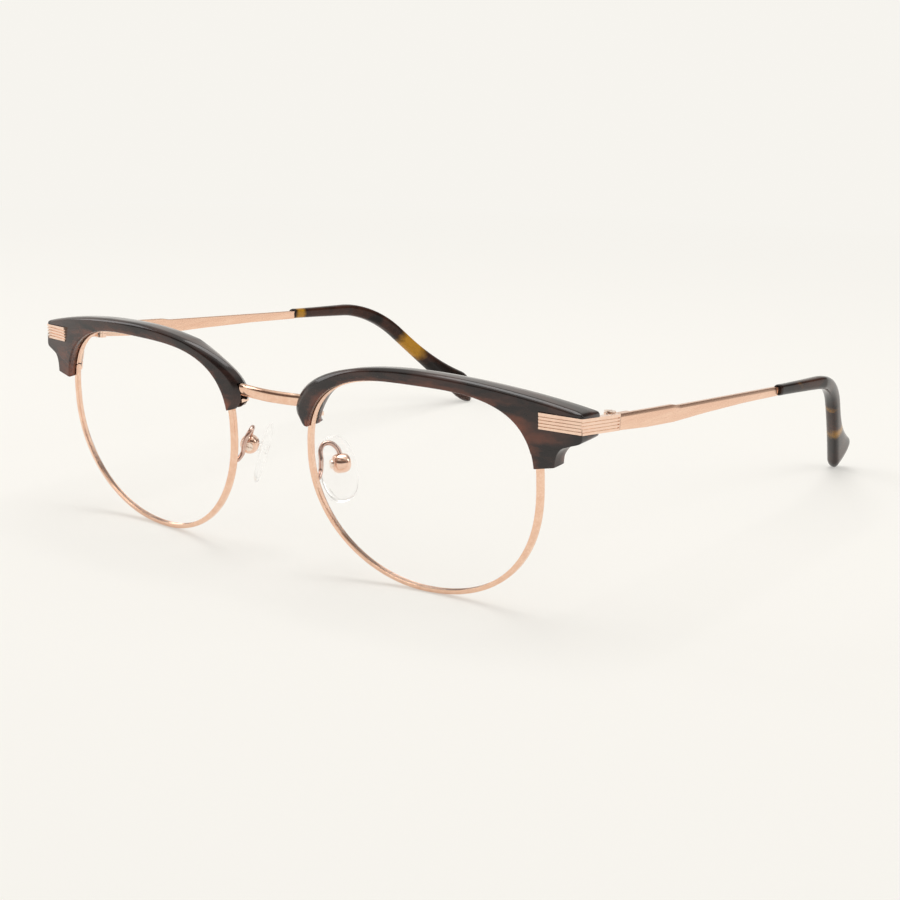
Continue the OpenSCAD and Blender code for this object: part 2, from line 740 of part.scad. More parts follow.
square_corners = [[1, 1], [-1, 1], [-1, -1], [1, -1]];
round_corners = [for (k = [0 : 13]) oval(360 * (k + 0.5) / 14, 2.6)];

core_steps = 30;
function core_rings(from, to, grow) = [for (i = [0 : core_steps])
  let (l = from + (to - from) * i / core_steps)
  tip_ring(l, core_t / 2 + grow, core_h / 2 + grow, core_h / 2 + grow, square_corners)];

module temple(s) {
  color(metal) placed() on_side(s) union() {
    at_hinge() translate([plate_in, 0, 0]) rotate([90, 0, 90])
      linear_extrude(plate_t) polygon(arm_profile);
    skin(core_rings(temple_bare - 0.5, core_end, 0));
  }
}

// Tip: slim where it starts, broadening on its upper side to a paddle with a rounded end.
tip_steps = 40;
end_round = 5;
paddle_round = 6.5;
tip_drop_t = 3.5;
paddle_from = 4;
function closing(left, from) = left < from ? sqrt(max(0, 1 - pow(1 - left / from, 2))) : 1;
function tip_shape(l) = let (
    left = tip_end - l,
    bend = ease((l - temple_bare) / (bend_at + bend_len - temple_bare)),
    paddle = pow(max(0, min(1, (l - bend_at - bend_len - paddle_from) / (drop_len - paddle_from - 5))), 2),
    half = tip_h / 2 + 0.4 * bend)
  [
    closing(left, end_round) * (tip_t + (tip_drop_t - tip_t) * bend) / 2,
    closing(left, paddle_round) * (half + (paddle_h - tip_h - 0.8) * paddle),
    closing(left, end_round) * half
  ];
function tip_place(i) = let (u = i / tip_steps)
  temple_bare + (tip_end - temple_bare) * (u < 0.8 ? u * 1.1 : 0.88 + 0.12 * sin((u - 0.8) / 0.2 * 86));
tip_rings = [for (i = [0 : tip_steps]) let (l = tip_place(i), h = tip_shape(l))
  tip_ring(l, h.x, h.y, h.z, round_corners)];

module temple_tip(s) {
  color(acetate) placed() on_side(s) difference() {
    skin(tip_rings);
    skin(core_rings(temple_bare - 0.5, core_end + 0.2, 0.06));
  }
}

// Rest: the front leans back until eyewires and tips touch the table; the origin is under the middle.
function lowest(points, a) = min([for (p = points) p.y * sin(a) + p.z * cos(a)]);
function settle(low, high, n) = let (a = (low + high) / 2) n == 0 ? a
  : lowest(tip_points, a) < lowest(rim_points, a) ? settle(a, high, n - 1) : settle(low, a, n - 1);
rim_points = [for (i = [0 : turns], p = rim_section) rim_point(i, p)];
tip_points = [for (r = tip_rings) each r];
brow_points = [for (o = brow_outline) each brow_slice(o)];
steepest_lean = 15;
halvings = 24;
lean = settle(0, steepest_lean, halvings);
depths = [for (p = concat(brow_points, tip_points, rim_points)) p.y * cos(lean) - p.z * sin(lean)];
shift_y = -(min(depths) + max(depths)) / 2;

module placed() {
  translate([0, shift_y, -lowest(rim_points, lean)]) rotate([lean, 0, 0]) children();
}

rim(LEFT);  // rim_left
rim(RIGHT);  // rim_right
lens(LEFT);  // lens_left
lens(RIGHT);  // lens_right
brow(LEFT);  // brow_left
brow(RIGHT);  // brow_right
bridge();
brow_lug(LEFT);  // brow_lug_left
brow_lug(RIGHT);  // brow_lug_right
brow_screw(LEFT);  // brow_screw_left
brow_screw(RIGHT);  // brow_screw_right
rim_block(LEFT, true);  // rim_block_upper_left
rim_block(RIGHT, true);  // rim_block_upper_right
rim_block(LEFT, false);  // rim_block_lower_left
rim_block(RIGHT, false);  // rim_block_lower_right
rim_screw(LEFT);  // rim_screw_left
rim_screw(RIGHT);  // rim_screw_right
pad_arm(LEFT);  // pad_arm_left
pad_arm(RIGHT);  // pad_arm_right
pad_box(LEFT);  // pad_box_left
pad_box(RIGHT);  // pad_box_right
pad_screw(LEFT);  // pad_screw_left
pad_screw(RIGHT);  // pad_screw_right
nose_pad(LEFT);  // nose_pad_left
nose_pad(RIGHT);  // nose_pad_right
end_piece(LEFT);  // end_piece_left
end_piece(RIGHT);  // end_piece_right
end_rivets(LEFT);  // end_rivets_left
end_rivets(RIGHT);  // end_rivets_right
hinge_front(LEFT);  // hinge_front_left
hinge_front(RIGHT);  // hinge_front_right
hinge_screw(LEFT);  // hinge_screw_left
hinge_screw(RIGHT);  // hinge_screw_right
hinge_temple(LEFT);  // hinge_temple_left
hinge_temple(RIGHT);  // hinge_temple_right
temple(LEFT);  // temple_left
temple(RIGHT);  // temple_right
temple_tip(LEFT);  // temple_tip_left
temple_tip(RIGHT);  // temple_tip_right
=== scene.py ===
"""Browline spectacles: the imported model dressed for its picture.

Shapes are worked out in millimetres on the front's own plane, from the same sizes as the solids,
and are then leaned back onto the table. The left side is worked out and the right one mirrored.
"""
import json
import logging
from dataclasses import dataclass, field
from enum import Enum

import bmesh
import bpy
import numpy as np
from mathutils import Matrix
from numpy.typing import NDArray

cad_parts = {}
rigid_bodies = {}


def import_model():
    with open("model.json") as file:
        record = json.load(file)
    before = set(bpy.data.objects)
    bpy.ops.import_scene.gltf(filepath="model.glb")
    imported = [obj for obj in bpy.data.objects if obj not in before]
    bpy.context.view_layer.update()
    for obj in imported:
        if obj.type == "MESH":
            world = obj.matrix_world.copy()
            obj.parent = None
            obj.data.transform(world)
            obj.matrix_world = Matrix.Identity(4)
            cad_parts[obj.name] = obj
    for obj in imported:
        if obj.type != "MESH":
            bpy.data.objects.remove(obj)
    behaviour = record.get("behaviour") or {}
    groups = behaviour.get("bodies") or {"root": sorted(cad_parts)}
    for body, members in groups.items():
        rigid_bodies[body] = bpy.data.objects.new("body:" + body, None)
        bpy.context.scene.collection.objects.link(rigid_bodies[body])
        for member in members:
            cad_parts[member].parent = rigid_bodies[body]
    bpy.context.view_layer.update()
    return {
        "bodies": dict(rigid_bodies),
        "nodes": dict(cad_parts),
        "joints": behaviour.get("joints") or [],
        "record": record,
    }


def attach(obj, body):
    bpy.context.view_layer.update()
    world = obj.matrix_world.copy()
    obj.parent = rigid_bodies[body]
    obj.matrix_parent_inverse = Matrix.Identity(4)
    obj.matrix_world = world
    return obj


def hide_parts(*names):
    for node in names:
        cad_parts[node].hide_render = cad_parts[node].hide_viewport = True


Array = NDArray[np.float64]
Color = tuple[float, float, float]
Point = tuple[float, float, float]
Socket = bpy.types.NodeSocket
log = logging.getLogger("spectacles")

MM = 0.001
# Degrees between two faces from which their edge is shown sharp or eased
SHARP_ANGLE = 35.0


class Side(Enum):
    """A side of the wearer; its value is the sign of X there."""

    LEFT = 1
    RIGHT = -1

    def named(self, stem: str) -> str:
        """Name of this side's piece or node, such as rim_left."""
        return f"{stem}_{self.name.lower()}"


def turn_x(angle: float) -> Array:
    """Matrix of a turn about X by an angle in degrees."""
    c, s = np.cos(np.radians(angle)), np.sin(np.radians(angle))
    return np.array([[1, 0, 0], [0, c, -s], [0, s, c]])


def turn_y(angle: float) -> Array:
    """Matrix of a turn about Y by an angle in degrees."""
    c, s = np.cos(np.radians(angle)), np.sin(np.radians(angle))
    return np.array([[c, 0, s], [0, 1, 0], [-s, 0, c]])


def turn_z(angle: float) -> Array:
    """Matrix of a turn about Z by an angle in degrees."""
    c, s = np.cos(np.radians(angle)), np.sin(np.radians(angle))
    return np.array([[c, -s, 0], [s, c, 0], [0, 0, 1]])


@dataclass(frozen=True)
class Seat:
    """How the spectacles stand: the front leans back, and rims and temple tips touch the table."""

    lean: float = 4.10197
    back: float = -81.63
    lift: float = 25.841

    def place(self, points: Array, side: Side) -> Array:
        """Points of the left side on the front's plane, moved to the table in metres.

        Args:
            points: millimetres, one row a point.
            side: the side to place them on; the right one is mirrored.

        Returns:
            The placed points, in metres.
        """
        placed = points @ turn_x(self.lean).T + [0, self.back, self.lift]
        return placed * [side.value * MM, MM, MM]


SEAT = Seat()


@dataclass
class Shell:
    """A closed skin: its points, its faces, and each point's share of amber. On the brow bars that amber is a
    painted glow of light through the thin acetate; on the tips it is the mottle's own amber patches.
    """

    points: Array
    faces: list[tuple[int, ...]]
    warm: Array


def skin(rings: Array, loop: bool = False, warm: Array | None = None) -> Shell:
    """Joins rings of equally many points into one closed skin, with a flat face on each end.

    Args:
        rings: points as (ring, point on the ring, coordinate).
        loop: whether the last ring joins the first.
        warm: the share of amber at each ring and point, or None for none; on the brows it is a painted glow
            of light through the thin acetate.

    Returns:
        The skin; point j of ring i joins its neighbours on the ring and on the next ring.
    """
    n, m = rings.shape[:2]
    i, j = np.meshgrid(np.arange(n if loop else n - 1), np.arange(m), indexing="ij")
    following, beside = (i + 1) % n, (j + 1) % m
    quads = np.stack([i * m + j, i * m + beside, following * m + beside, following * m + j], axis=-1)
    faces = [tuple(q) for q in quads.reshape(-1, 4).tolist()]
    if not loop:
        faces += [tuple(range(m - 1, -1, -1)), tuple(range((n - 1) * m, n * m))]
    values = np.zeros(n * m) if warm is None else np.broadcast_to(warm, (n, m)).reshape(-1)
    return Shell(rings.reshape(-1, 3), faces, values)


def block(low: Point, high: Point) -> Array:
    """Corners of a box as two rings of four, so that skin() closes it.

    Args:
        low: the corner with the least coordinates.
        high: the corner with the greatest.

    Returns:
        The lower and the upper ring.
    """
    x, y, z = zip(low, high)
    ring = [[x[0], y[0]], [x[1], y[0]], [x[1], y[1]], [x[0], y[1]]]
    return np.array([[[p[0], p[1], level] for p in ring] for level in z])


def rounded(corners: Array, radii: float | Array, steps: int = 4) -> Array:
    """Closed sections with every corner eased.

    Each corner P becomes the quadratic curve (1-t)^2 A + 2 t (1-t) P + t^2 B, where A and B lie
    on its two sides, the radius away from P but never past 45% of a side.

    Args:
        corners: sections as (..., corner, coordinate).
        radii: one radius, or one for each corner.
        steps: points on each eased corner.

    Returns:
        The sections with steps points for each corner.
    """
    reach = np.broadcast_to(radii, corners.shape[-2])[:, None]

    def trimmed(side: Array) -> Array:
        """The point on a side where its corner's curve starts."""
        length = np.maximum(np.linalg.norm(side, axis=-1, keepdims=True), 1e-9)
        return corners + side * np.minimum(reach, 0.45 * length) / length

    a = trimmed(np.roll(corners, 1, axis=-2) - corners)[..., None, :]
    b = trimmed(np.roll(corners, -1, axis=-2) - corners)[..., None, :]
    t = np.linspace(0, 1, steps)[:, None]
    curve = (1 - t) ** 2 * a + 2 * t * (1 - t) * corners[..., None, :] + t**2 * b
    return curve.reshape(*corners.shape[:-2], -1, corners.shape[-1])


def smooth_line(points: Array, per_span: int) -> Array:
    """Points on a Catmull-Rom curve: a cubic on each span, its slopes half its neighbours' chord.

    Args:
        points: the points that the curve runs through.
        per_span: new points on each span.

    Returns:
        The curve's points, the last given point among them.
    """
    ends = np.vstack([points[:1], points, points[-1:]])
    a, b, c, d = ends[:-3, None], ends[1:-2, None], ends[2:-1, None], ends[3:, None]
    t = (np.arange(per_span) / per_span)[:, None]
    spans = 0.5 * (2 * b + (c - a) * t + (2 * a - 5 * b + 4 * c - d) * t**2 + (3 * b - a - 3 * c + d) * t**3)
    return np.vstack([spans.reshape(-1, points.shape[1]), points[-1:]])


def even_line(points: Array, spacing: float, easing: int = 2) -> Array:
    """Points at even distances along a line of chords, its corners eased by averaging neighbours.

    Args:
        points: the line's corners.
        spacing: distance between the new points.
        easing: how often each point moves to a quarter, a half and a quarter of its neighbours.

    Returns:
        The new points; the two ends stay where they are.
    """
    steps = np.linalg.norm(np.diff(points, axis=0), axis=1)
    along = np.concatenate([[0], np.cumsum(steps)])
    places = np.linspace(0, along[-1], int(along[-1] / spacing) + 1)
    line = np.stack([np.interp(places, along, points[:, k]) for k in range(points.shape[1])], axis=1)
    for _ in range(easing):
        line[1:-1] = 0.25 * line[:-2] + 0.5 * line[1:-1] + 0.25 * line[2:]
    return line


def full_turn(count: int) -> Array:
    """Evenly spaced angles of one turn, in radians."""
    return np.arange(count) / count * 2 * np.pi


def circle(count: int, axis: int) -> Array:
    """Points of a unit circle across the axis with that number: 1 for Y, 2 for Z."""
    a = full_turn(count)
    return np.insert(np.stack([np.cos(a), np.sin(a)], axis=1), axis, 0.0, axis=1)


def oval(count: int, power: float) -> Array:
    """Points on a superellipse of half axes 1: one over the n-th root of |cos|^n + |sin|^n.

    Args:
        count: how many points.
        power: n: 2 for an ellipse, more for fuller corners.

    Returns:
        The points, one row each.
    """
    a = (np.arange(count) + 0.5) / count * 2 * np.pi
    reach = (np.abs(np.cos(a)) ** power + np.abs(np.sin(a)) ** power) ** (-1 / power)
    return reach[:, None] * np.stack([np.cos(a), np.sin(a)], axis=1)


def tube(path: Array, radius: float, sides: int = 16) -> Array:
    """Rings of a round wire along a path, each in the plane across the path's direction.

    The first cross direction is the path's direction crossed with X, the second crosses both.

    Args:
        path: the wire's middle line.
        radius: the wire's radius.
        sides: points on each ring.

    Returns:
        The rings, one for each point of the path.
    """
    way = np.gradient(path, axis=0)
    way /= np.linalg.norm(way, axis=1, keepdims=True)
    u = np.cross(way, [1.0, 0.0, 0.0])
    u /= np.linalg.norm(u, axis=1, keepdims=True)
    v = np.cross(way, u)
    a = full_turn(sides)
    return path[:, None] + radius * (np.cos(a)[:, None] * u[:, None] + np.sin(a)[:, None] * v[:, None])


def share(x: Array, start: float, end: float) -> Array:
    """How far x is from start to end, held between 0 and 1."""
    return np.clip((x - start) / (end - start), 0, 1)


def ease(t: Array) -> Array:
    """A soft step from 0 to 1: 3u^2 - 2u^3 with u held between 0 and 1."""
    u = np.clip(t, 0, 1)
    return u * u * (3 - 2 * u)


def fill_mesh(name: str, shells: list[Shell], side: Side) -> bpy.types.Mesh:
    """A mesh of closed skins, placed on the table, with faces outward and each point's share of amber kept,
    the brows' painted glow of light through thin acetate among it.

    Each skin's faces are turned round where its volume, a sixth of the sum of each triangle's
    corner product, comes out negative.

    Args:
        name: the mesh's name.
        shells: the skins on the front's plane, for the left side.
        side: the side to place them on.

    Returns:
        The mesh, smooth except at its sharp edges.
    """
    points: list[Array] = []
    faces: list[tuple[int, ...]] = []
    start = 0
    for shell in shells:
        placed = SEAT.place(shell.points, side)
        fans = [(f[0], f[k], f[k + 1]) for f in shell.faces for k in range(1, len(f) - 1)]
        corners = placed[np.array(fans)]
        volume = np.einsum("ij,ij->i", corners[:, 0], np.cross(corners[:, 1], corners[:, 2])).sum() / 6
        turned = shell.faces if volume > 0 else [f[::-1] for f in shell.faces]
        faces += [tuple(k + start for k in f) for f in turned]
        points.append(placed)
        start += len(placed)
    mesh = bpy.data.meshes.new(name)
    mesh.from_pydata(np.vstack(points).tolist(), [], faces)
    # Each point's share of amber: a painted glow of light through the brows' thin acetate, and the tips'
    # amber patches.
    warm = mesh.attributes.new("warm", "FLOAT", "POINT")
    warm.data.foreach_set("value", np.concatenate([s.warm for s in shells]).astype(np.float32))
    mesh.shade_smooth()
    mesh.set_sharp_from_angle(angle=np.radians(SHARP_ANGLE))
    mesh.validate()
    return mesh


def add_object(name: str, mesh: bpy.types.Mesh) -> bpy.types.Object:
    """An object with that mesh in the scene, at the origin.

    Args:
        name: the object's name.
        mesh: its mesh.

    Returns:
        The object.
    """
    piece = bpy.data.objects.new(name, mesh)
    bpy.context.scene.collection.objects.link(piece)
    return piece


def add_bevel(piece: bpy.types.Object, width: float) -> None:
    """Eases the sharp edges of a piece by a width in millimetres."""
    bevel = piece.modifiers.new("eased edges", "BEVEL")
    bevel.width = width * MM
    bevel.segments = 2
    bevel.limit_method = "ANGLE"
    bevel.angle_limit = np.radians(SHARP_ANGLE)
    bevel.use_clamp_overlap = True
    bevel.harden_normals = True


def cut_away(piece: bpy.types.Object, cutters: list[Shell], side: Side) -> None:
    """Takes closed shapes out of a piece's mesh for good.

    Args:
        piece: the piece.
        cutters: the shapes, on the front's plane.
        side: the side that the piece is on.
    """
    tools = [add_object(f"cutter_{k}", fill_mesh(f"cutter_{k}", [c], side)) for k, c in enumerate(cutters)]
    for tool in tools:
        cut = piece.modifiers.new(tool.name, "BOOLEAN")
        cut.object = tool
        cut.operation = "DIFFERENCE"
        cut.solver = "EXACT"
    result = bpy.data.meshes.new_from_object(piece.evaluated_get(bpy.context.evaluated_depsgraph_get()))
    piece.modifiers.clear()
    piece.data = result
    result.shade_smooth()
    result.set_sharp_from_angle(angle=np.radians(SHARP_ANGLE))
    for tool in tools:
        bpy.data.objects.remove(tool)


@dataclass(frozen=True)
class Dress:
    """A finished material and the record's slot that it belongs to."""

    material: bpy.types.Material
    slot: str


def finish_piece(piece: bpy.types.Object, dress: Dress, body: str, node: str) -> None:
    """Dresses a piece, makes it ride, and lets it stand for its solid.

    Args:
        piece: the piece.
        dress: its finish.
        body: the body it rides on.
        node: the solid's node that it replaces.
    """
    piece.data.materials.clear()
    piece.data.materials.append(dress.material)
    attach(piece, body)
    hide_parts(node)
    log.info("%s: %d faces, rides on %s", piece.name, len(piece.data.polygons), body)


class Tree:
    """A node tree being filled, with short calls for its nodes and links."""

    def __init__(self, tree: bpy.types.NodeTree) -> None:
        """Keeps the tree."""
        self.tree = tree

    def add(self, kind: str, values: dict[str, object] | None = None, **settings: object) -> bpy.types.Node:
        """Adds a node.

        Args:
            kind: its type, such as ShaderNodeBump.
            values: default values for its inputs, by name.
            settings: its own settings.

        Returns:
            The node.
        """
        node = self.tree.nodes.new(kind)
        for key, value in settings.items():
            setattr(node, key, value)
        for key, value in (values or {}).items():
            node.inputs[key].default_value = value
        return node

    def join(self, start: Socket, end: Socket) -> None:
        """Links an output to an input."""
        self.tree.links.new(start, end)

    def ramp(self, value: Socket, low: float, high: float, to_low: float, to_high: float) -> Socket:
        """A value carried from one range to another and held there.

        Args:
            value: the output that gives the value.
            low: the first range's start.
            high: its end.
            to_low: the second range's start.
            to_high: its end.

        Returns:
            The output with the carried value.
        """
        node = self.add(
            "ShaderNodeMapRange", {"From Min": low, "From Max": high, "To Min": to_low, "To Max": to_high})
        self.join(value, node.inputs["Value"])
        return node.outputs["Result"]

    def blend(self, amount: Socket, a: Socket | Color, b: Socket | Color) -> Socket:
        """A colour mixed from two.

        Args:
            amount: how much of the second.
            a: the first colour or the output that gives it.
            b: the second.

        Returns:
            The output with the mixed colour.
        """
        node = self.add("ShaderNodeMix", data_type="RGBA")
        self.join(amount, node.inputs[0])
        for socket, value in ((node.inputs[6], a), (node.inputs[7], b)):
            if isinstance(value, tuple):
                socket.default_value = (*value, 1)
            else:
                self.join(value, socket)
        return node.outputs[2]

    def math(self, how: str, a: Socket, b: Socket | float) -> Socket:
        """Two values joined by one operation, such as MAXIMUM.

        Args:
            how: the operation.
            a: the output that gives the first value.
            b: the second value, or the output that gives it.

        Returns:
            The output with the result.
        """
        node = self.add("ShaderNodeMath", operation=how)
        self.join(a, node.inputs[0])
        if isinstance(b, float):
            node.inputs[1].default_value = b
        else:
            self.join(b, node.inputs[1])
        return node.outputs[0]


def new_group(
    name: str, inputs: dict[str, str], outputs: dict[str, str],
) -> tuple[Tree, bpy.types.Node, bpy.types.Node]:
    """A shader node group with named sockets.

    Args:
        name: the group's name.
        inputs: socket type by name.
        outputs: socket type by name.

    Returns:
        Its tree, its input node and its output node.
    """
    group = bpy.data.node_groups.new(name, "ShaderNodeTree")
    for sockets, way in ((inputs, "INPUT"), (outputs, "OUTPUT")):
        for socket, kind in sockets.items():
            group.interface.new_socket(socket, in_out=way, socket_type=kind)
    tree = Tree(group)
    return tree, tree.add("NodeGroupInput"), tree.add("NodeGroupOutput")


class Effects:
    """Surface effects that several materials share, each a node group built once."""

    def __init__(self) -> None:
        """Builds the groups."""
        self.brushing = self._brushing()
        self.handling = self._handling()
        self.tortoise = self._tortoise()

    @staticmethod
    def _brushing() -> bpy.types.NodeTree:
        """Fine drawn lines along one direction, as a shade and as a height.

        Returns:
            The group's tree.
        """
        tree, start, end = new_group(
            "Brushing", {"Vector": "NodeSocketVector", "Stretch": "NodeSocketVector"},
            {"Shade": "NodeSocketFloat", "Height": "NodeSocketFloat"})
        scaled = tree.add("ShaderNodeVectorMath", operation="MULTIPLY")
        tree.join(start.outputs["Vector"], scaled.inputs[0])
        tree.join(start.outputs["Stretch"], scaled.inputs[1])
        lines = tree.add("ShaderNodeTexNoise", {"Scale": 1.0, "Detail": 3.0, "Roughness": 0.6})
        tree.join(scaled.outputs[0], lines.inputs["Vector"])
        broad = tree.add("ShaderNodeTexNoise", {"Scale": 0.21, "Detail": 2.0})
        tree.join(scaled.outputs[0], broad.inputs["Vector"])
        tree.join(tree.math("MULTIPLY", lines.outputs["Fac"], broad.outputs["Fac"]), end.inputs["Shade"])
        tree.join(lines.outputs["Fac"], end.inputs["Height"])
        return tree.tree

    @staticmethod
    def _handling() -> bpy.types.NodeTree:
        """Marks of use: soft patches and tiny specks.

        Returns:
            The group's tree.
        """
        tree, start, end = new_group(
            "Handling", {"Vector": "NodeSocketVector", "Scale": "NodeSocketFloat"},
            {"Patch": "NodeSocketFloat", "Speck": "NodeSocketFloat"})
        patch = tree.add("ShaderNodeTexNoise", {"Detail": 4.0, "Roughness": 0.55, "Distortion": 0.4})
        tree.join(start.outputs["Vector"], patch.inputs["Vector"])
        tree.join(start.outputs["Scale"], patch.inputs["Scale"])
        fine = tree.add("ShaderNodeTexNoise", {"Detail": 2.0})
        tree.join(start.outputs["Vector"], fine.inputs["Vector"])
        tree.join(tree.math("MULTIPLY", start.outputs["Scale"], 16.0), fine.inputs["Scale"])
        tree.join(patch.outputs["Fac"], end.inputs["Patch"])
        tree.join(tree.ramp(fine.outputs["Fac"], 0.62, 0.72, 0.0, 1.0), end.inputs["Speck"])
        return tree.tree

    @staticmethod
    def _tortoise() -> bpy.types.NodeTree:
        """Mottled acetate: dark clouds over a reddish-brown body, amber where they part and where each
        point's share asks for it (on the brows a painted glow of light through thin acetate), fine streaks
        along it.

        Returns:
            The group's tree.
        """
        tree, start, end = new_group(
            "Mottled acetate",
            {"Vector": "NodeSocketVector", "Stretch": "NodeSocketVector", "Warmth": "NodeSocketFloat",
             "Dark": "NodeSocketColor", "Body": "NodeSocketColor", "Amber": "NodeSocketColor"},
            {"Color": "NodeSocketColor", "Cloud": "NodeSocketFloat"})
        scaled = tree.add("ShaderNodeVectorMath", operation="MULTIPLY")
        tree.join(start.outputs["Vector"], scaled.inputs[0])
        tree.join(start.outputs["Stretch"], scaled.inputs[1])
        cloud = tree.add(
            "ShaderNodeTexNoise", {"Scale": 1.0, "Detail": 1.5, "Roughness": 0.4, "Distortion": 0.6})
        tree.join(scaled.outputs[0], cloud.inputs["Vector"])
        streak = tree.add("ShaderNodeTexNoise", {"Scale": 5.0, "Detail": 2.0})
        tree.join(scaled.outputs[0], streak.inputs["Vector"])
        streaked = tree.ramp(streak.outputs["Fac"], 0.3, 0.7, -0.07, 0.07)
        mixed = tree.math("ADD", cloud.outputs["Fac"], streaked)
        clearing = tree.ramp(mixed, 0.38, 0.64, 0.0, 1.0)
        body = tree.blend(clearing, start.outputs["Dark"], start.outputs["Body"])
        # Amber where the clouds part, plus each point's share: on the brows a painted glow of light through
        # thin acetate
        parted = tree.math("ADD", start.outputs["Warmth"], tree.ramp(mixed, 0.2, 0.8, -0.3, 0.3))
        color = tree.blend(tree.ramp(parted, 0.3, 0.8, 0.0, 1.0), body, start.outputs["Amber"])
        tree.join(color, end.inputs["Color"])
        tree.join(mixed, end.inputs["Cloud"])
        return tree.tree


def new_material(name: str) -> tuple[Tree, bpy.types.Node, Socket]:
    """An empty node material.

    Args:
        name: the material's name.

    Returns:
        Its tree, its Principled shader and the output with the piece's own coordinates.
    """
    material = bpy.data.materials.new(name)
    material.use_nodes = True
    tree = Tree(material.node_tree)
    place = tree.add("ShaderNodeTexCoord")
    return tree, material.node_tree.nodes["Principled BSDF"], place.outputs["Object"]


@dataclass(frozen=True)
class MetalFinish:
    """Drawn or brushed metal: two close colours, a roughness range, and lines along a direction."""

    name: str
    light: Color
    deep: Color
    rough: tuple[float, float]
    stretch: Point
    bump: float
    slot: str = "metal"

    def build(self, effects: Effects) -> Dress:
        """The material of this finish.

        Args:
            effects: the shared groups.

        Returns:
            The material and its slot.
        """
        tree, shader, place = new_material(self.name)
        lines = tree.add("ShaderNodeGroup", node_tree=effects.brushing)
        lines.inputs["Stretch"].default_value = self.stretch
        marks = tree.add("ShaderNodeGroup", {}, node_tree=effects.handling)
        marks.inputs["Scale"].default_value = 260.0
        for group in (lines, marks):
            tree.join(place, group.inputs["Vector"])
        mixed = tree.blend(tree.ramp(lines.outputs["Shade"], 0.1, 0.4, 0.0, 1.0), self.deep, self.light)
        worn = tree.blend(tree.ramp(marks.outputs["Patch"], 0.5, 0.8, 0.0, 0.3), mixed, self.deep)
        tree.join(worn, shader.inputs["Base Color"])
        rough = tree.math("ADD", tree.ramp(lines.outputs["Shade"], 0.1, 0.45, self.rough[1], self.rough[0]),
                          tree.ramp(marks.outputs["Speck"], 0.0, 1.0, 0.0, 0.12))
        tree.join(rough, shader.inputs["Roughness"])
        bump = tree.add("ShaderNodeBump", {"Strength": self.bump, "Distance": 0.00002})
        tree.join(lines.outputs["Height"], bump.inputs["Height"])
        tree.join(bump.outputs["Normal"], shader.inputs["Normal"])
        shader.inputs["Metallic"].default_value = 1.0
        return Dress(bpy.data.materials[self.name], self.slot)


@dataclass(frozen=True)
class AcetateFinish:
    """Polished mottled acetate with a clear gloss over it."""

    name: str
    dark: Color
    body: Color
    amber: Color
    stretch: Point
    rough: tuple[float, float]
    coat: float
    gloss: float
    slot: str = "acetate"

    def build(self, effects: Effects) -> Dress:
        """The material of this finish.

        Args:
            effects: the shared groups.

        Returns:
            The material and its slot.
        """
        tree, shader, place = new_material(self.name)
        mottle = tree.add("ShaderNodeGroup", node_tree=effects.tortoise)
        mottle.inputs["Stretch"].default_value = self.stretch
        for socket, color in (("Dark", self.dark), ("Body", self.body), ("Amber", self.amber)):
            mottle.inputs[socket].default_value = (*color, 1)
        marks = tree.add("ShaderNodeGroup", node_tree=effects.handling)
        marks.inputs["Scale"].default_value = 180.0
        for group in (mottle, marks):
            tree.join(place, group.inputs["Vector"])
        # Amber from each point's share: a painted glow of light through the brows' thin lips and nasal tip,
        # and the tips' own amber patches
        warm = tree.add("ShaderNodeAttribute", attribute_name="warm")
        tree.join(warm.outputs["Fac"], mottle.inputs["Warmth"])
        tree.join(mottle.outputs["Color"], shader.inputs["Base Color"])
        rough = tree.math("ADD", tree.ramp(marks.outputs["Patch"], 0.35, 0.7, *self.rough),
                          tree.ramp(marks.outputs["Speck"], 0.0, 1.0, 0.0, 0.1))
        tree.join(rough, shader.inputs["Roughness"])
        bump = tree.add("ShaderNodeBump", {"Strength": 0.08, "Distance": 0.00003})
        tree.join(marks.outputs["Patch"], bump.inputs["Height"])
        tree.join(bump.outputs["Normal"], shader.inputs["Normal"])
        shader.inputs["Coat Weight"].default_value = self.coat
        shader.inputs["Specular IOR Level"].default_value = self.gloss
        shader.inputs["Coat Roughness"].default_value = 0.06
        shader.inputs["IOR"].default_value = 1.48
        return Dress(bpy.data.materials[self.name], self.slot)


@dataclass(frozen=True)
class ClearFinish:
    """Clear lens or pad material, faintly smudged, that lets most light through to its shadow.

    Body is how much of it the eye meets, and shade how much its shadow shows. What is left of
    either goes straight through, as it does at the rear. Light already bent by it meets it in full.
    """

    name: str
    tint: Color
    smudge: Color
    rough: tuple[float, float]
    ior: float
    slot: str
    body: float
    shade: float

    def build(self, effects: Effects) -> Dress:
        """The material of this finish.

        Args:
            effects: the shared groups.

        Returns:
            The material and its slot.
        """
        tree, shader, place = new_material(self.name)
        marks = tree.add("ShaderNodeGroup", node_tree=effects.handling)
        marks.inputs["Scale"].default_value = 70.0
        tree.join(place, marks.inputs["Vector"])
        patch = tree.ramp(marks.outputs["Patch"], 0.4, 0.75, 0.0, 1.0)
        tree.join(tree.blend(patch, self.tint, self.smudge), shader.inputs["Base Color"])
        tree.join(tree.ramp(marks.outputs["Patch"], 0.4, 0.75, *self.rough), shader.inputs["Roughness"])
        bump = tree.add("ShaderNodeBump", {"Strength": 0.02, "Distance": 0.00002})
        tree.join(marks.outputs["Patch"], bump.inputs["Height"])
        tree.join(bump.outputs["Normal"], shader.inputs["Normal"])
        shader.inputs["IOR"].default_value = self.ior
        shader.inputs["Transmission Weight"].default_value = 1.0
        light = tree.add("ShaderNodeLightPath")
        straight = tree.ramp(light.outputs["Is Shadow Ray"], 0.0, 1.0, self.body, self.shade)
        outer = tree.ramp(tree.add("ShaderNodeNewGeometry").outputs["Backfacing"], 0.0, 1.0, 1.0, 0.0)
        met = tree.math("MULTIPLY", straight, outer)
        tree.join(tree.math("MAXIMUM", light.outputs["Is Transmission Ray"], met), shader.inputs["Alpha"])
        return Dress(bpy.data.materials[self.name], self.slot)


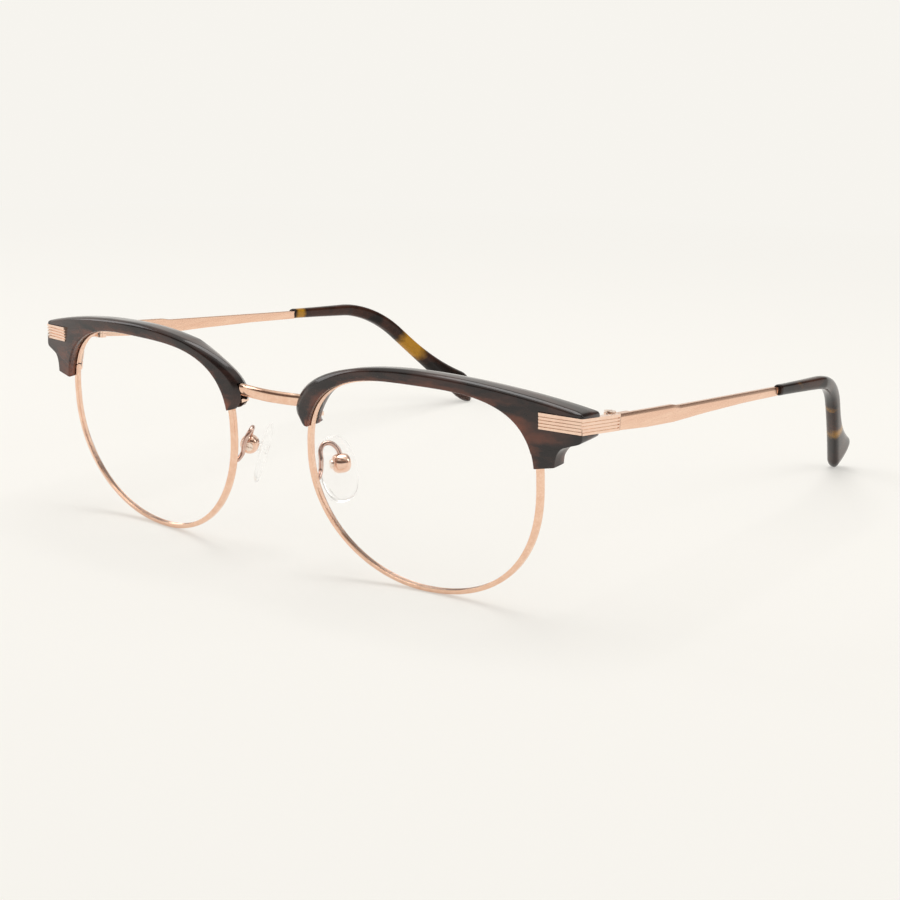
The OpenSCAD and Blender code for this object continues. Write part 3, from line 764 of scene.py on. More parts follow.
EVEN_GRAIN = (2500.0, 2500.0, 2500.0)
ROSE_WIRE = MetalFinish(
    "Rose gold wire", light=(0.95, 0.67, 0.51), deep=(0.86, 0.54, 0.39), rough=(0.1, 0.17),
    stretch=EVEN_GRAIN, bump=0.03)
ROSE_BRUSHED = MetalFinish(
    "Brushed rose gold", light=(0.93, 0.64, 0.48), deep=(0.86, 0.55, 0.4), rough=(0.2, 0.3),
    stretch=(4200.0, 260.0, 4200.0), bump=0.1)
ROSE_CAST = MetalFinish(
    "Rose gold fitting", light=(0.98, 0.73, 0.58), deep=(0.92, 0.64, 0.5), rough=(0.15, 0.24),
    stretch=(2600.0, 1300.0, 2600.0), bump=0.03)
ROSE_POLISHED = MetalFinish(
    "Polished rose gold", light=(0.95, 0.69, 0.56), deep=(0.86, 0.57, 0.43), rough=(0.04, 0.09),
    stretch=EVEN_GRAIN, bump=0.02)
ARM_WIRE = MetalFinish(
    "Pad arm wire", light=(0.74, 0.53, 0.45), deep=(0.58, 0.4, 0.34), rough=(0.12, 0.2),
    stretch=EVEN_GRAIN, bump=0.03)
SCREW_STEEL = MetalFinish(
    "Screw steel", light=(1.0, 0.88, 0.78), deep=(0.86, 0.7, 0.6), rough=(0.18, 0.3),
    stretch=(6000.0, 6000.0, 900.0), bump=0.06, slot="screw")
BROW_ACETATE = AcetateFinish(
    "Dark brow acetate", dark=(0.014, 0.0095, 0.009), body=(0.05, 0.023, 0.018), amber=(0.2, 0.06, 0.032),
    stretch=(90.0, 260.0, 260.0), rough=(0.12, 0.22), coat=0.15, gloss=0.5)
TIP_ACETATE = AcetateFinish(
    "Tortoise tip acetate", dark=(0.009, 0.0055, 0.0045), body=(0.05, 0.02, 0.013), amber=(0.42, 0.2, 0.015),
    stretch=(150.0, 90.0, 150.0), rough=(0.1, 0.18), coat=0.0, gloss=0.22)
LENS_GLASS = ClearFinish(
    "Clear lens", tint=(1.0, 1.0, 1.0), smudge=(0.985, 0.985, 0.98), rough=(0.0, 0.006), ior=1.45,
    slot="lens", body=0.1, shade=0.03)
PAD_CLEAR = ClearFinish(
    "Clear pad", tint=(1.0, 1.0, 1.0), smudge=(0.97, 0.96, 0.95), rough=(0.02, 0.07), ior=1.4,
    slot="pad", body=0.5, shade=0.15)


@dataclass(frozen=True)
class LensShape:
    """Outline and curve that lens, eyewire and brow bar share, on the front's plane."""

    width: float = 50.6
    up: float = 17.4
    down: float = 25.3
    square_out: float = 2.9
    square_in: float = 2.8
    round_in: float = 2.0
    round_out: float = 2.2
    middle_x: float = 36.1
    middle_y: float = 2.9
    middle_z: float = -0.1
    sway: float = 0.002
    radius: float = 119.0
    radius_low: float = 80.0
    wrap: float = 0.106

    @property
    def middle(self) -> Array:
        """The lens' middle, sideways and up."""
        return np.array([self.middle_x, self.middle_z])

    def reach(self, a: Array) -> Array:
        """Distance from the middle to the lens opening at angles in radians.

        One over the n-th root of (|cos a| / half width)^n + (|sin a| / height)^n, with its own
        power n in each quarter.

        Args:
            a: the angles.

        Returns:
            The distances.
        """
        c, s = np.cos(a), np.sin(a)
        upper = np.where(c >= 0, self.square_out, self.square_in)
        lower = np.where(c >= 0, self.round_out, self.round_in)
        n = np.where(s >= 0, upper, lower)
        height = np.where(s >= 0, self.up, self.down)
        return ((np.abs(c) * 2 / self.width) ** n + (np.abs(s) / height) ** n) ** (-1 / n)

    def opening(self, a: Array) -> Array:
        """Points of the opening about the middle, drifting sideways with height."""
        return self.reach(a)[..., None] * np.stack([np.cos(a) + self.sway * np.sin(a), np.sin(a)], axis=-1)

    def normal(self, a: Array) -> Array:
        """Outward unit normals of the opening, across the chord of two degrees about each point.

        Args:
            a: angles in radians.

        Returns:
            The normals, sideways and up.
        """
        step = np.radians(1)
        way = self.opening(a + step) - self.opening(a - step)
        out = np.stack([way[..., 1], -way[..., 0]], axis=-1)
        return out / np.linalg.norm(out, axis=-1, keepdims=True)

    def dome(self, x: Array, z: Array) -> Array:
        """Depth of the lens' front: a slope plus x^2/2R and z^2/2R, straight past the edge.

        Args:
            x: places sideways.
            z: places up.

        Returns:
            The depths on the front's plane.
        """
        edge = self.middle_x + self.width / 2
        u = np.minimum(x, edge) - self.middle_x
        across = self.middle_y + self.wrap * (x - self.middle_x) + u * u / (2 * self.radius)
        beyond = np.maximum(x - edge, 0) * u / self.radius
        return across + beyond + z * z / (2 * np.where(z > 0, self.radius, self.radius_low))

    def on_face(self, flat: Array, back: Array | float) -> Array:
        """Points given sideways and up, laid on the lens' front and moved back."""
        depth = self.dome(flat[..., 0], flat[..., 1]) + back
        return np.stack([flat[..., 0], depth, flat[..., 1]], axis=-1)

    def at(self, a: Array, section: Array) -> Array:
        """A section of (outward, back) points carried to each angle: rings of points."""
        flat = (self.opening(a) + self.middle)[:, None] + section[None, :, :1] * self.normal(a)[:, None]
        return self.on_face(flat, section[None, :, 1])

    def nasal_x(self, z: float) -> float:
        """Sideways place of the opening's nasal side at a height.

        Args:
            z: the height.

        Returns:
            The place on the front's plane.
        """
        above = z > self.middle_z
        v = abs(z - self.middle_z) / (self.up if above else self.down)
        n = self.square_in if above else self.round_in
        return self.middle_x + self.sway * (z - self.middle_z) - self.width / 2 * (1 - v**n) ** (1 / n)


LENS = LensShape()


@dataclass(frozen=True)
class Eyewires:
    """Both eyewires with their lens grooves, split at the temporal side, and their lenses."""

    width: float = 1.05
    depth: float = 1.4
    outer_round: float = 0.42
    inner_round: float = 0.12
    groove_round: float = 0.06
    lip_round: float = 0.04
    groove_deep: float = 0.45
    groove_open: float = 0.9
    split_angle: float = 15.5
    split_gap: float = 0.3
    lens_thick: float = 1.6
    lens_edge: float = 0.08
    lens_play: float = 0.1
    gap: float = 0.06
    turns: int = 216

    def section(self) -> Array:
        """The wire's section, outward and back, its outer corners rounder than its inner ones.

        Returns:
            The eased section, one row a point.
        """
        w, d = self.width, self.depth
        low, high = (d - self.groove_open) / 2, (d + self.groove_open) / 2
        corners = np.array([[0, d], [w, d], [w, 0], [0, 0], [0, low], [self.groove_deep, d / 2], [0, high]])
        radii = np.array([
            self.inner_round, self.outer_round, self.outer_round, self.inner_round,
            self.lip_round, self.groove_round, self.lip_round])
        return rounded(corners, radii, 6)

    def wire(self) -> Shell:
        """The section carried from one side of the split round to the other.

        Returns:
            The closed skin.
        """
        half = self.split_gap / LENS.width
        start = np.radians(self.split_angle)
        a = np.linspace(start + half, start + 2 * np.pi - half, self.turns)
        return skin(LENS.at(a, self.section()))

    def lens(self) -> Shell:
        """A lens: shrunk copies of its outline on the front and rear face, joined by its bevelled edge.

        Returns:
            The closed skin.
        """
        a = full_turn(self.turns)
        middle = self.depth / 2
        front, rear = middle - self.lens_thick / 2, middle + self.lens_thick / 2
        bevel = self.groove_open / 2 - self.lens_play
        inside = LENS.opening(a) - self.gap * LENS.normal(a)
        edge = np.array([
            [-self.gap, front + self.lens_edge], [-self.gap, middle - bevel],
            [self.groove_deep - self.lens_play, middle],
            [-self.gap, middle + bevel], [-self.gap, rear - self.lens_edge]])
        sizes = np.concatenate([[0.004], np.linspace(0.08, 0.997, 16)])

        def face(back: float, shrunk: Array) -> Array:
            """Rings of one face, from the sizes given."""
            return LENS.on_face(shrunk[:, None, None] * inside[None] + LENS.middle, back)

        return skin(np.concatenate([
            face(front, sizes), LENS.at(a, edge).swapaxes(0, 1), face(rear, sizes[::-1])]))

    def build(self, wire: Dress, glass: Dress) -> None:
        """Makes wires and lenses of both sides.

        Args:
            wire: the wires' finish.
            glass: the lenses' finish.
        """
        for side in Side:
            rim = add_object(side.named("eyewire"), fill_mesh("eyewire", [self.wire()], side))
            finish_piece(rim, wire, "front", side.named("rim"))
            lens = add_object(side.named("lens_glass"), fill_mesh("lens_glass", [self.lens()], side))
            finish_piece(lens, glass, "front", side.named("lens"))


WIRES = Eyewires()


@dataclass(frozen=True)
class BridgeShape:
    """The bridge bar's section and place, between the eyewires' nasal sides."""

    height: float = 2.6
    depth: float = 1.6
    z: float = 10.0
    rise: float = 0.1
    bow: float = 1.0
    half: float = 6.9

    @property
    def root_x(self) -> float:
        """Sideways place of the eyewires' nasal side at the bridge's height."""
        return LENS.nasal_x(self.z)

    @property
    def y(self) -> float:
        """Depth of the bar's middle at its ends, in the eyewires' mid depth."""
        return LENS.dome(self.root_x - WIRES.width, self.z) + WIRES.depth / 2


BRIDGE = BridgeShape()


@dataclass(frozen=True)
class Hinge:
    """Where a temple turns: its frame is used by end piece, hinge and temple alike."""

    side_x: float = 70.8
    plate: float = 1.2
    barrel: float = 2.4
    leaf_gap: float = 0.06
    y: float = 23.5
    z: float = 10.6
    slope: float = 8.6

    @property
    def x(self) -> float:
        """Distance of the hinge axis from the middle of the spectacles."""
        return self.side_x - self.plate_in - self.plate

    @property
    def plate_in(self) -> float:
        """Inner face of end piece and temple, outward of the axis."""
        return self.barrel / 2 + self.leaf_gap

    def place(self, points: Array) -> Array:
        """Points in the hinge's frame, outward, back and up, moved to the front's plane."""
        return points @ turn_x(-self.slope).T + [self.x, self.y, self.z]


HINGE = Hinge()


@dataclass
class Brows:
    """Both acetate brow bars, hollowed for eyewire, bridge, lug, closing blocks and end piece."""

    # Outline: nasal end, arc over the lens, long upper edge, outer end and leg
    nose: float = 6.7
    nasal_tip: tuple[tuple[float, float], ...] = ((2.8, -2.85), (2.2, -2.75), (1.2, -2.0), (0.35, -1.0))
    swell: float = 8.6
    top: float = 20.3
    top_radius: float = 122.0
    out: float = 70.8
    low: float = 9.8
    corner: float = 0.3
    leg_x: float = 65.86
    leg_z: float = 4.9
    leg_curve: tuple[tuple[float, float], ...] = ((1.2, -1.1), (0.4, -2.2), (0.1, -3.4))
    spacing: float = 0.45
    # Section: front face, bevel, rear face, lips over the eyewire, and what changes toward the nose
    nasal_from: float = 22.0
    nasal_to: float = 8.0
    lip: float = 1.4
    lip_lean: float = 0.4
    sweep: float = 1.1
    nose_set: float = 0.2
    bevel: float = 0.7
    bevel_nose: float = 1.2
    back: float = 4.5
    back_in: float = 2.1
    back_nose: float = 1.1
    leg_back: float = 1.9
    fall: float = 0.8
    taper: float = 2.4
    rim_show: float = 0.5
    show_less_above: float = 0.35
    show_less_nose: float = 0.2
    rear_lip_nose: float = 0.45
    soft: float = 0.25
    least_wall: float = 0.15
    # Seats for the metal parts
    gap: float = 0.06
    lug_z: float = 6.8
    lug_t: float = 0.8
    lug_set: float = 0.1
    screw_in: float = 1.7
    screw_back: float = 1.2
    head_r: float = 0.9
    block_w: float = 2.2
    block_h: float = 2.1
    block_clear: float = 0.05
    plate_h: float = 3.2
    side_leg: float = 14.2
    front_leg: float = 8.5
    corner_rise: float = 0.35
    corner_ease: float = 0.12
    front_lift: float = 0.7
    # How far a cut runs on past the bar's outside, and through its rear
    past: float = 3.0
    through: float = 9.0

    def top_z(self, x: Array | float) -> Array | float:
        """Height of the long upper edge: the top less the square of x over twice its radius."""
        return self.top - (x - LENS.middle_x) ** 2 / (2 * self.top_radius)

    def outline(self) -> Array:
        """Outline from the nasal tip over a quarter ellipse and the upper edge to the leg, evenly spaced.

        Returns:
            The outline's points, sideways and up.
        """
        tip = np.array(self.nasal_tip) + [self.nose, self.swell]
        a = np.linspace(np.pi, np.pi / 2, 60)
        arc = np.stack([
            LENS.middle_x + (LENS.middle_x - self.nose) * np.cos(a),
            self.swell + (self.top - self.swell) * np.sin(a)], axis=1)
        x = np.linspace(LENS.middle_x, self.out - self.corner, 60)[1:]
        upper = np.stack([x, self.top_z(x)], axis=1)
        end = np.array([
            [self.out, self.top_z(self.out) - self.corner], [self.out, self.low + self.corner],
            [self.out - self.corner, self.low], [self.out - 2, self.low - 0.5]])
        leg = np.array(self.leg_curve) + [self.leg_x, self.low]
        return even_line(np.vstack([tip, arc, upper, end, leg, [[self.leg_x, self.leg_z]]]), self.spacing, 1)

    def outer_end(self, o: Array) -> Array:
        """How near each outline point is to the outer end and its underside, from 0 to 1.

        Args:
            o: outline points, sideways and up.

        Returns:
            The nearness of each.
        """
        outward = share(o[:, 0], self.out - 1.2, self.out - 0.2)
        down = share(o[:, 1], self.low + 1, self.low)
        return np.maximum(outward, down) * (o[:, 0] > LENS.middle_x)

    def front(self, o: Array, nose: Array) -> Array:
        """Depth of the front face, which comes forward toward the outer end."""
        return -self.lip + self.nose_set * nose - self.sweep * share(o[:, 0], LENS.middle_x, self.out)

    def rear(self, o: Array) -> Array:
        """Depth of the rear face, which comes forward down the leg."""
        leg = share(o[:, 0], LENS.middle_x, self.leg_x) * share(o[:, 1], self.low - 0.2, self.low - 3.2)
        return self.back + (self.leg_back - self.back) * leg

    def warmth(self, o: Array, corners: Array) -> Array:
        """Painted glow of light coming through, put into the colour: most along the thin lower lips and at
        the nasal tip.

        Args:
            o: outline points, sideways and up.
            corners: the share of each corner of the section.

        Returns:
            The painted glow at each outline point and corner.
        """
        nasal = 0.8 * share(o[:, 1], 8.6, 6.6) * share(o[:, 0], 30, 12)
        leg = 0.12 * share(o[:, 1], 11, 5) * share(o[:, 0], 50, 62)
        return np.clip(corners[None] * (0.48 + nasal)[:, None] + leg[:, None], 0, 1)

    def bar(self) -> Shell:
        """The bar as sections in planes through the lens' middle and each outline point.

        Each runs from the lower front lip over the front face, the upper bevel, the top and the
        rear back to the lip, and then round the channel that holds the eyewire.

        Returns:
            The closed skin, with its painted glow of light through the thin acetate.
        """
        o = self.outline()
        m = LENS.middle
        a = np.arctan2(o[:, 1] - m[1], o[:, 0] - m[0])
        d = np.stack([np.cos(a), np.sin(a)], axis=1)
        edge = LENS.reach(a)
        nose = share(o[:, 0], self.nasal_from, self.nasal_to)
        above = np.maximum(np.sin(a), 0) ** 2
        show = self.rim_show - self.show_less_above * above - self.show_less_nose * nose * (1 - above)
        low = m + (edge + show)[:, None] * d
        low_rear = m + (edge + self.rim_show - self.rear_lip_nose * nose)[:, None] * d
        reach = np.linalg.norm(o - low, axis=1)
        end = self.outer_end(o)
        bevel = np.minimum((self.bevel + self.bevel_nose * nose) * (1 - 0.8 * end), reach * 0.55)
        dip = (0.5 + 0.6 * bevel) * (1 - 0.7 * end)
        soft = np.minimum(self.soft, reach * 0.15)
        front = self.front(o, nose)
        lip = front + self.lip_lean * (1 - nose)
        rear = self.rear(o)
        rear_low = np.minimum(self.back_in + self.back_nose * nose, rear - 0.1)
        drop = np.minimum(self.taper * nose, reach * 0.5)[:, None] * d
        drop[:, 1] += self.fall * share(o[:, 1], self.low, self.low + 5)
        top = o - drop
        hip = np.linalg.norm(top - low, axis=1) * 0.55
        lean = np.einsum("ij,ij->i", LENS.normal(a), d)
        channel = np.minimum(edge + (WIRES.width + self.gap) / lean, edge + show + reach - self.least_wall)
        deep = m + channel[:, None] * d
        behind = np.full_like(rear, WIRES.depth + self.gap)
        before = np.full_like(rear, -self.gap)

        def out(start: Array, by: Array) -> Array:
            """Points moved outward along the slice."""
            return start + by[:, None] * d

        #         Place, depth, easing and painted glow of light through the acetate at each corner
        corners = [
            (low, lip + soft, 0.2, 1.0),
            (out(low, soft), lip, 0.2, 0.95),
            (out(o, -bevel), front, 0.3, 0.1),
            (out(o, -0.35 * bevel), front + 0.35 * dip, 0.3, 0.1),
            (o, front + dip, 0.3, 0.1),
            (out((o + top) / 2, 0.1 + 0 * bevel), (front + dip + rear) / 2, 0.6, 0.2),
            (top, rear - np.minimum(0.6, rear / 4), 0.4, 0.2),
            (out(top, -np.minimum(0.6, reach * 0.2)), rear, 0.4, 0.15),
            (out(low_rear, hip), rear - (rear - rear_low) * 0.15, 0.8, 0.4),
            (out(low_rear, soft), rear_low, 0.2, 0.9),
            (low_rear, rear_low - soft, 0.2, 1.0),
            (low_rear, behind, 0.05, 1.0),
            (deep, behind, 0.05, 1.0),
            (deep, before, 0.05, 1.0),
            (low, before, 0.05, 1.0)]
        steps = 4
        rings = np.stack([LENS.on_face(flat, depth) for flat, depth, _, _ in corners], axis=1)
        easing = np.array([corner[2] for corner in corners])
        warm = np.array([corner[3] for corner in corners])
        return skin(rounded(rings, easing, steps), warm=self.warmth(o, np.repeat(warm, steps)))

    def bridge_seat(self) -> Array:
        """The notch for the bridge's end.

        Returns:
            The notch as two rings.
        """
        half = BRIDGE.depth / 2 + self.gap
        top = BRIDGE.z + BRIDGE.height / 2 + self.gap
        return block((-2, BRIDGE.y - half, 0), (BRIDGE.root_x, BRIDGE.y + half, top))

    def lug_seats(self) -> list[Array]:
        """The slit for the lug, open to the rear, and the room for its screw's head from below.

        Returns:
            Slit and screw room, each as two rings.
        """
        out = LENS.nasal_x(self.lug_z) - self.lug_set
        y = LENS.dome(out - WIRES.width, self.lug_z) + WIRES.depth + 0.05
        slit = block(
            (-2, y - 0.15, self.lug_z - 0.1),
            (out + 0.02, y + self.through, self.lug_z + self.lug_t + self.gap))
        screw = np.array([out - self.screw_in, BRIDGE.y + BRIDGE.depth / 2 + self.screw_back, 0])
        head = circle(24, 2) * (self.head_r + 0.1) + screw
        return [slit, np.stack([head + [0, 0, z] for z in (0.0, self.lug_z)])]

    def block_pocket(self) -> Array:
        """The pocket round the eyewire's closing blocks, open below and to the rear.

        Returns:
            The pocket as two rings.
        """
        a = np.radians([WIRES.split_angle])
        normal = LENS.normal(a)[0]
        high = WIRES.split_gap / 2 + self.block_h + self.gap
        pocket = block((-self.gap, 0, -high - 4), (self.block_w + self.gap, self.through, high))
        at = LENS.at(a, np.array([[WIRES.width + self.block_clear, 0.0]]))[0, 0]
        return pocket @ turn_y(-np.degrees(np.arctan2(normal[1], normal[0]))).T + at

    def end_piece_seats(self) -> list[Array]:
        """The rebates for the end piece's two legs: along the side, and over the front.

        Returns:
            Both rebates, each as two rings.
        """
        h = self.plate_h / 2 + self.gap
        lean = np.tan(np.radians(HINGE.slope))
        start = -self.side_leg - self.gap
        ring = np.array([
            [start + h * lean, self.corner_rise - h], [start - h * lean, self.corner_rise + h],
            [-0.05, h], [-0.05, -h]])
        side = np.stack([
            HINGE.place(np.column_stack([np.full(4, x), ring]))
            for x in (HINGE.plate_in - self.gap, HINGE.plate_in + HINGE.plate + self.past)])
        turn = np.degrees(np.arctan(LENS.wrap + LENS.width / 2 / LENS.radius))
        corner = HINGE.place(np.array([[HINGE.plate_in + HINGE.plate, -self.side_leg, self.corner_rise]]))
        long, lift = self.front_leg + self.gap, self.front_lift
        ring = np.array([[self.corner_ease, -h], [self.corner_ease, h], [long, lift + h], [long, lift - h]])
        front = np.stack([
            np.column_stack([ring[:, 0], np.full(4, y), ring[:, 1]]) @ turn_z(180 + turn).T + corner
            for y in (-HINGE.plate - self.gap, self.past)])
        return [side, front]

    def build(self, dress: Dress) -> None:
        """Makes both brow bars.

        Args:
            dress: their finish.
        """
        shell = self.bar()
        seats = [self.bridge_seat(), *self.lug_seats(), self.block_pocket(), *self.end_piece_seats()]
        for side in Side:
            bar = add_object(side.named("brow_bar"), fill_mesh("brow_bar", [shell], side))
            cut_away(bar, [skin(rings) for rings in seats], side)
            finish_piece(bar, dress, "front", side.named("brow"))


@dataclass
class NoseParts:
    """Bridge bar, pad arms and nose pads."""

    arm_radius: float = 0.5
    foot_z: float = -6.0
    arm_route: tuple[Point, ...] = (
        (10.4, 6.6, -2.8), (9.8, 7.3, -1.0), (9.8, 8.5, 0.0), (10.6, 9.8, -0.1), (11.6, 10.5, -1.2),
        (12.2, 10.6, -2.4))
    box_at: Point = (12.4, 10.6, -4.25)
    splay: float = 35.0
    tilt: float = 17.0
    roll: float = 6.0
    box_r: float = 2.03
    box_half: float = 1.93
    box_power: float = 2.9
    slot_half: float = 0.8
    slot_rise: float = 1.5
    pad_h: float = 14.0
    pad_w: float = 8.2
    pad_t: float = 2.0
    drop: float = 1.2
    stand: float = 3.3
    # The pad's sections from its inner to its outer face: place in its thickness, and size
    pad_layers: tuple[tuple[float, float], ...] = (
        (-0.5, 0.02), (-0.5, 0.3), (-0.47, 0.55), (-0.4, 0.74), (-0.28, 0.88), (-0.12, 0.965), (0.05, 1.0),
        (0.2, 0.965), (0.33, 0.88), (0.43, 0.74), (0.48, 0.55), (0.5, 0.3), (0.5, 0.02))
    stem_r: float = 1.1
    stem_half: float = 0.72
    stem_ease: float = 0.1
    web_half: float = 0.8
    bore: float = 0.55

    def bridge(self) -> Shell:
        """An elliptic bar that rises and stands forward by one less the square of x over the gap's half.

        Returns:
            The closed skin.
        """
        reach = BRIDGE.root_x - WIRES.width + 0.12
        x = np.linspace(-reach, reach, 64)[:, None]
        arch = np.maximum(0, 1 - (x / BRIDGE.half) ** 2)
        a = full_turn(32)
        y = BRIDGE.y - BRIDGE.bow * arch + BRIDGE.depth / 2 * np.cos(a)
        z = BRIDGE.z + BRIDGE.rise * arch + BRIDGE.height / 2 * np.sin(a)
        return skin(np.stack([x + 0 * a, y, z], axis=-1))

    def arm(self) -> Shell:
        """A wire from the eyewire's rear, up and back over a loop and down into the pad's box.

        Returns:
            The closed skin.
        """
        x = LENS.nasal_x(self.foot_z) - WIRES.width / 2
        y = LENS.dome(x, self.foot_z) + WIRES.depth + 0.02
        foot = [[x, y, self.foot_z], [x, y + 0.6, self.foot_z], [x - 0.4, 6.2, self.foot_z + 1.2]]
        return skin(tube(smooth_line(np.array([*foot, *self.arm_route]), 8), self.arm_radius))

    def at_box(self, points: Array) -> Array:
        """Points in the box's frame moved to the front's plane."""
        turn = turn_z(180 - self.splay) @ turn_y(self.tilt)
        return points @ turn.T + np.array(self.box_at)

    def pad(self) -> list[Shell]:
        """A cushion of stacked superellipses with rounded rims, and the stem that the screw holds.

        Returns:
            Cushion, stem and web between them, each a closed skin.
        """
        flat = oval(48, 2.3) * [self.pad_w / 2, self.pad_h / 2]
        rings = np.stack([
            np.column_stack([np.full(48, self.stand + level * self.pad_t), flat * size + [0, -self.drop]])
            for level, size in self.pad_layers])
        cushion = self.at_box(rings @ turn_x(-self.roll).T)
        eased = self.stem_r - self.stem_ease
        levels = [(self.bore, -1), (eased, -1), (self.stem_r, -0.85),
                  (self.stem_r, 0.85), (eased, 1), (self.bore, 1)]
        stem = np.stack([circle(32, 1) * r + [0, self.stem_half * k, 0] for r, k in levels])
        web = block(
            (self.stem_r - 0.15, -self.stem_half, -self.web_half),
            (self.stand - 0.6, self.stem_half, self.web_half))
        return [skin(cushion), skin(self.at_box(stem), loop=True), skin(self.at_box(web))]

    def bead(self) -> Shell:
        """The pad's box: a round barrel, its radius the superellipse of its place along its length.

        Returns:
            The closed skin, still without its slot and bore.
        """
        level = np.sin(np.linspace(-1, 1, 31) * np.pi / 2) * 0.985
        reach = self.box_r * (1 - np.abs(level) ** self.box_power) ** (1 / self.box_power)
        axis = np.array([0.0, self.box_half, 0.0])
        return skin(self.at_box(reach[:, None, None] * circle(48, 1) + level[:, None, None] * axis))

    def bead_cutters(self) -> list[Shell]:
        """The slot for the pad's stem, open toward the pad, and the screw's bore.

        Returns:
            Slot and bore as closed shapes.
        """
        slot = block(
            (-self.stem_r - 0.1, -self.slot_half, -self.slot_rise),
            (self.box_r + 1, self.slot_half, self.slot_rise))
        bore = np.stack([circle(24, 1) * (self.bore - 0.04) + [0, y, 0] for y in (-3.0, 3.0)])
        return [skin(self.at_box(slot)), skin(self.at_box(bore))]

    def build(self, wire: Dress, arms: Dress, polished: Dress, clear: Dress) -> None:
        """Makes the bridge, and the arm, box and pad of each side.

        Args:
            wire: the bridge's finish.
            arms: the pad arms' finish.
            polished: the boxes' finish.
            clear: the pads' finish.
        """
        bar = add_object("bridge_bar", fill_mesh("bridge_bar", [self.bridge()], Side.LEFT))
        finish_piece(bar, wire, "front", "bridge")
        for side in Side:
            arm = add_object(side.named("arm_wire"), fill_mesh("arm_wire", [self.arm()], side))
            finish_piece(arm, arms, "front", side.named("pad_arm"))
            box = add_object(side.named("pad_bead"), fill_mesh("pad_bead", [self.bead()], side))
            cut_away(box, self.bead_cutters(), side)
            finish_piece(box, polished, "front", side.named("pad_box"))
            pad = add_object(side.named("pad_cushion"), fill_mesh("pad_cushion", self.pad(), side))
            finish_piece(pad, clear, side.named("pad"), side.named("nose_pad"))


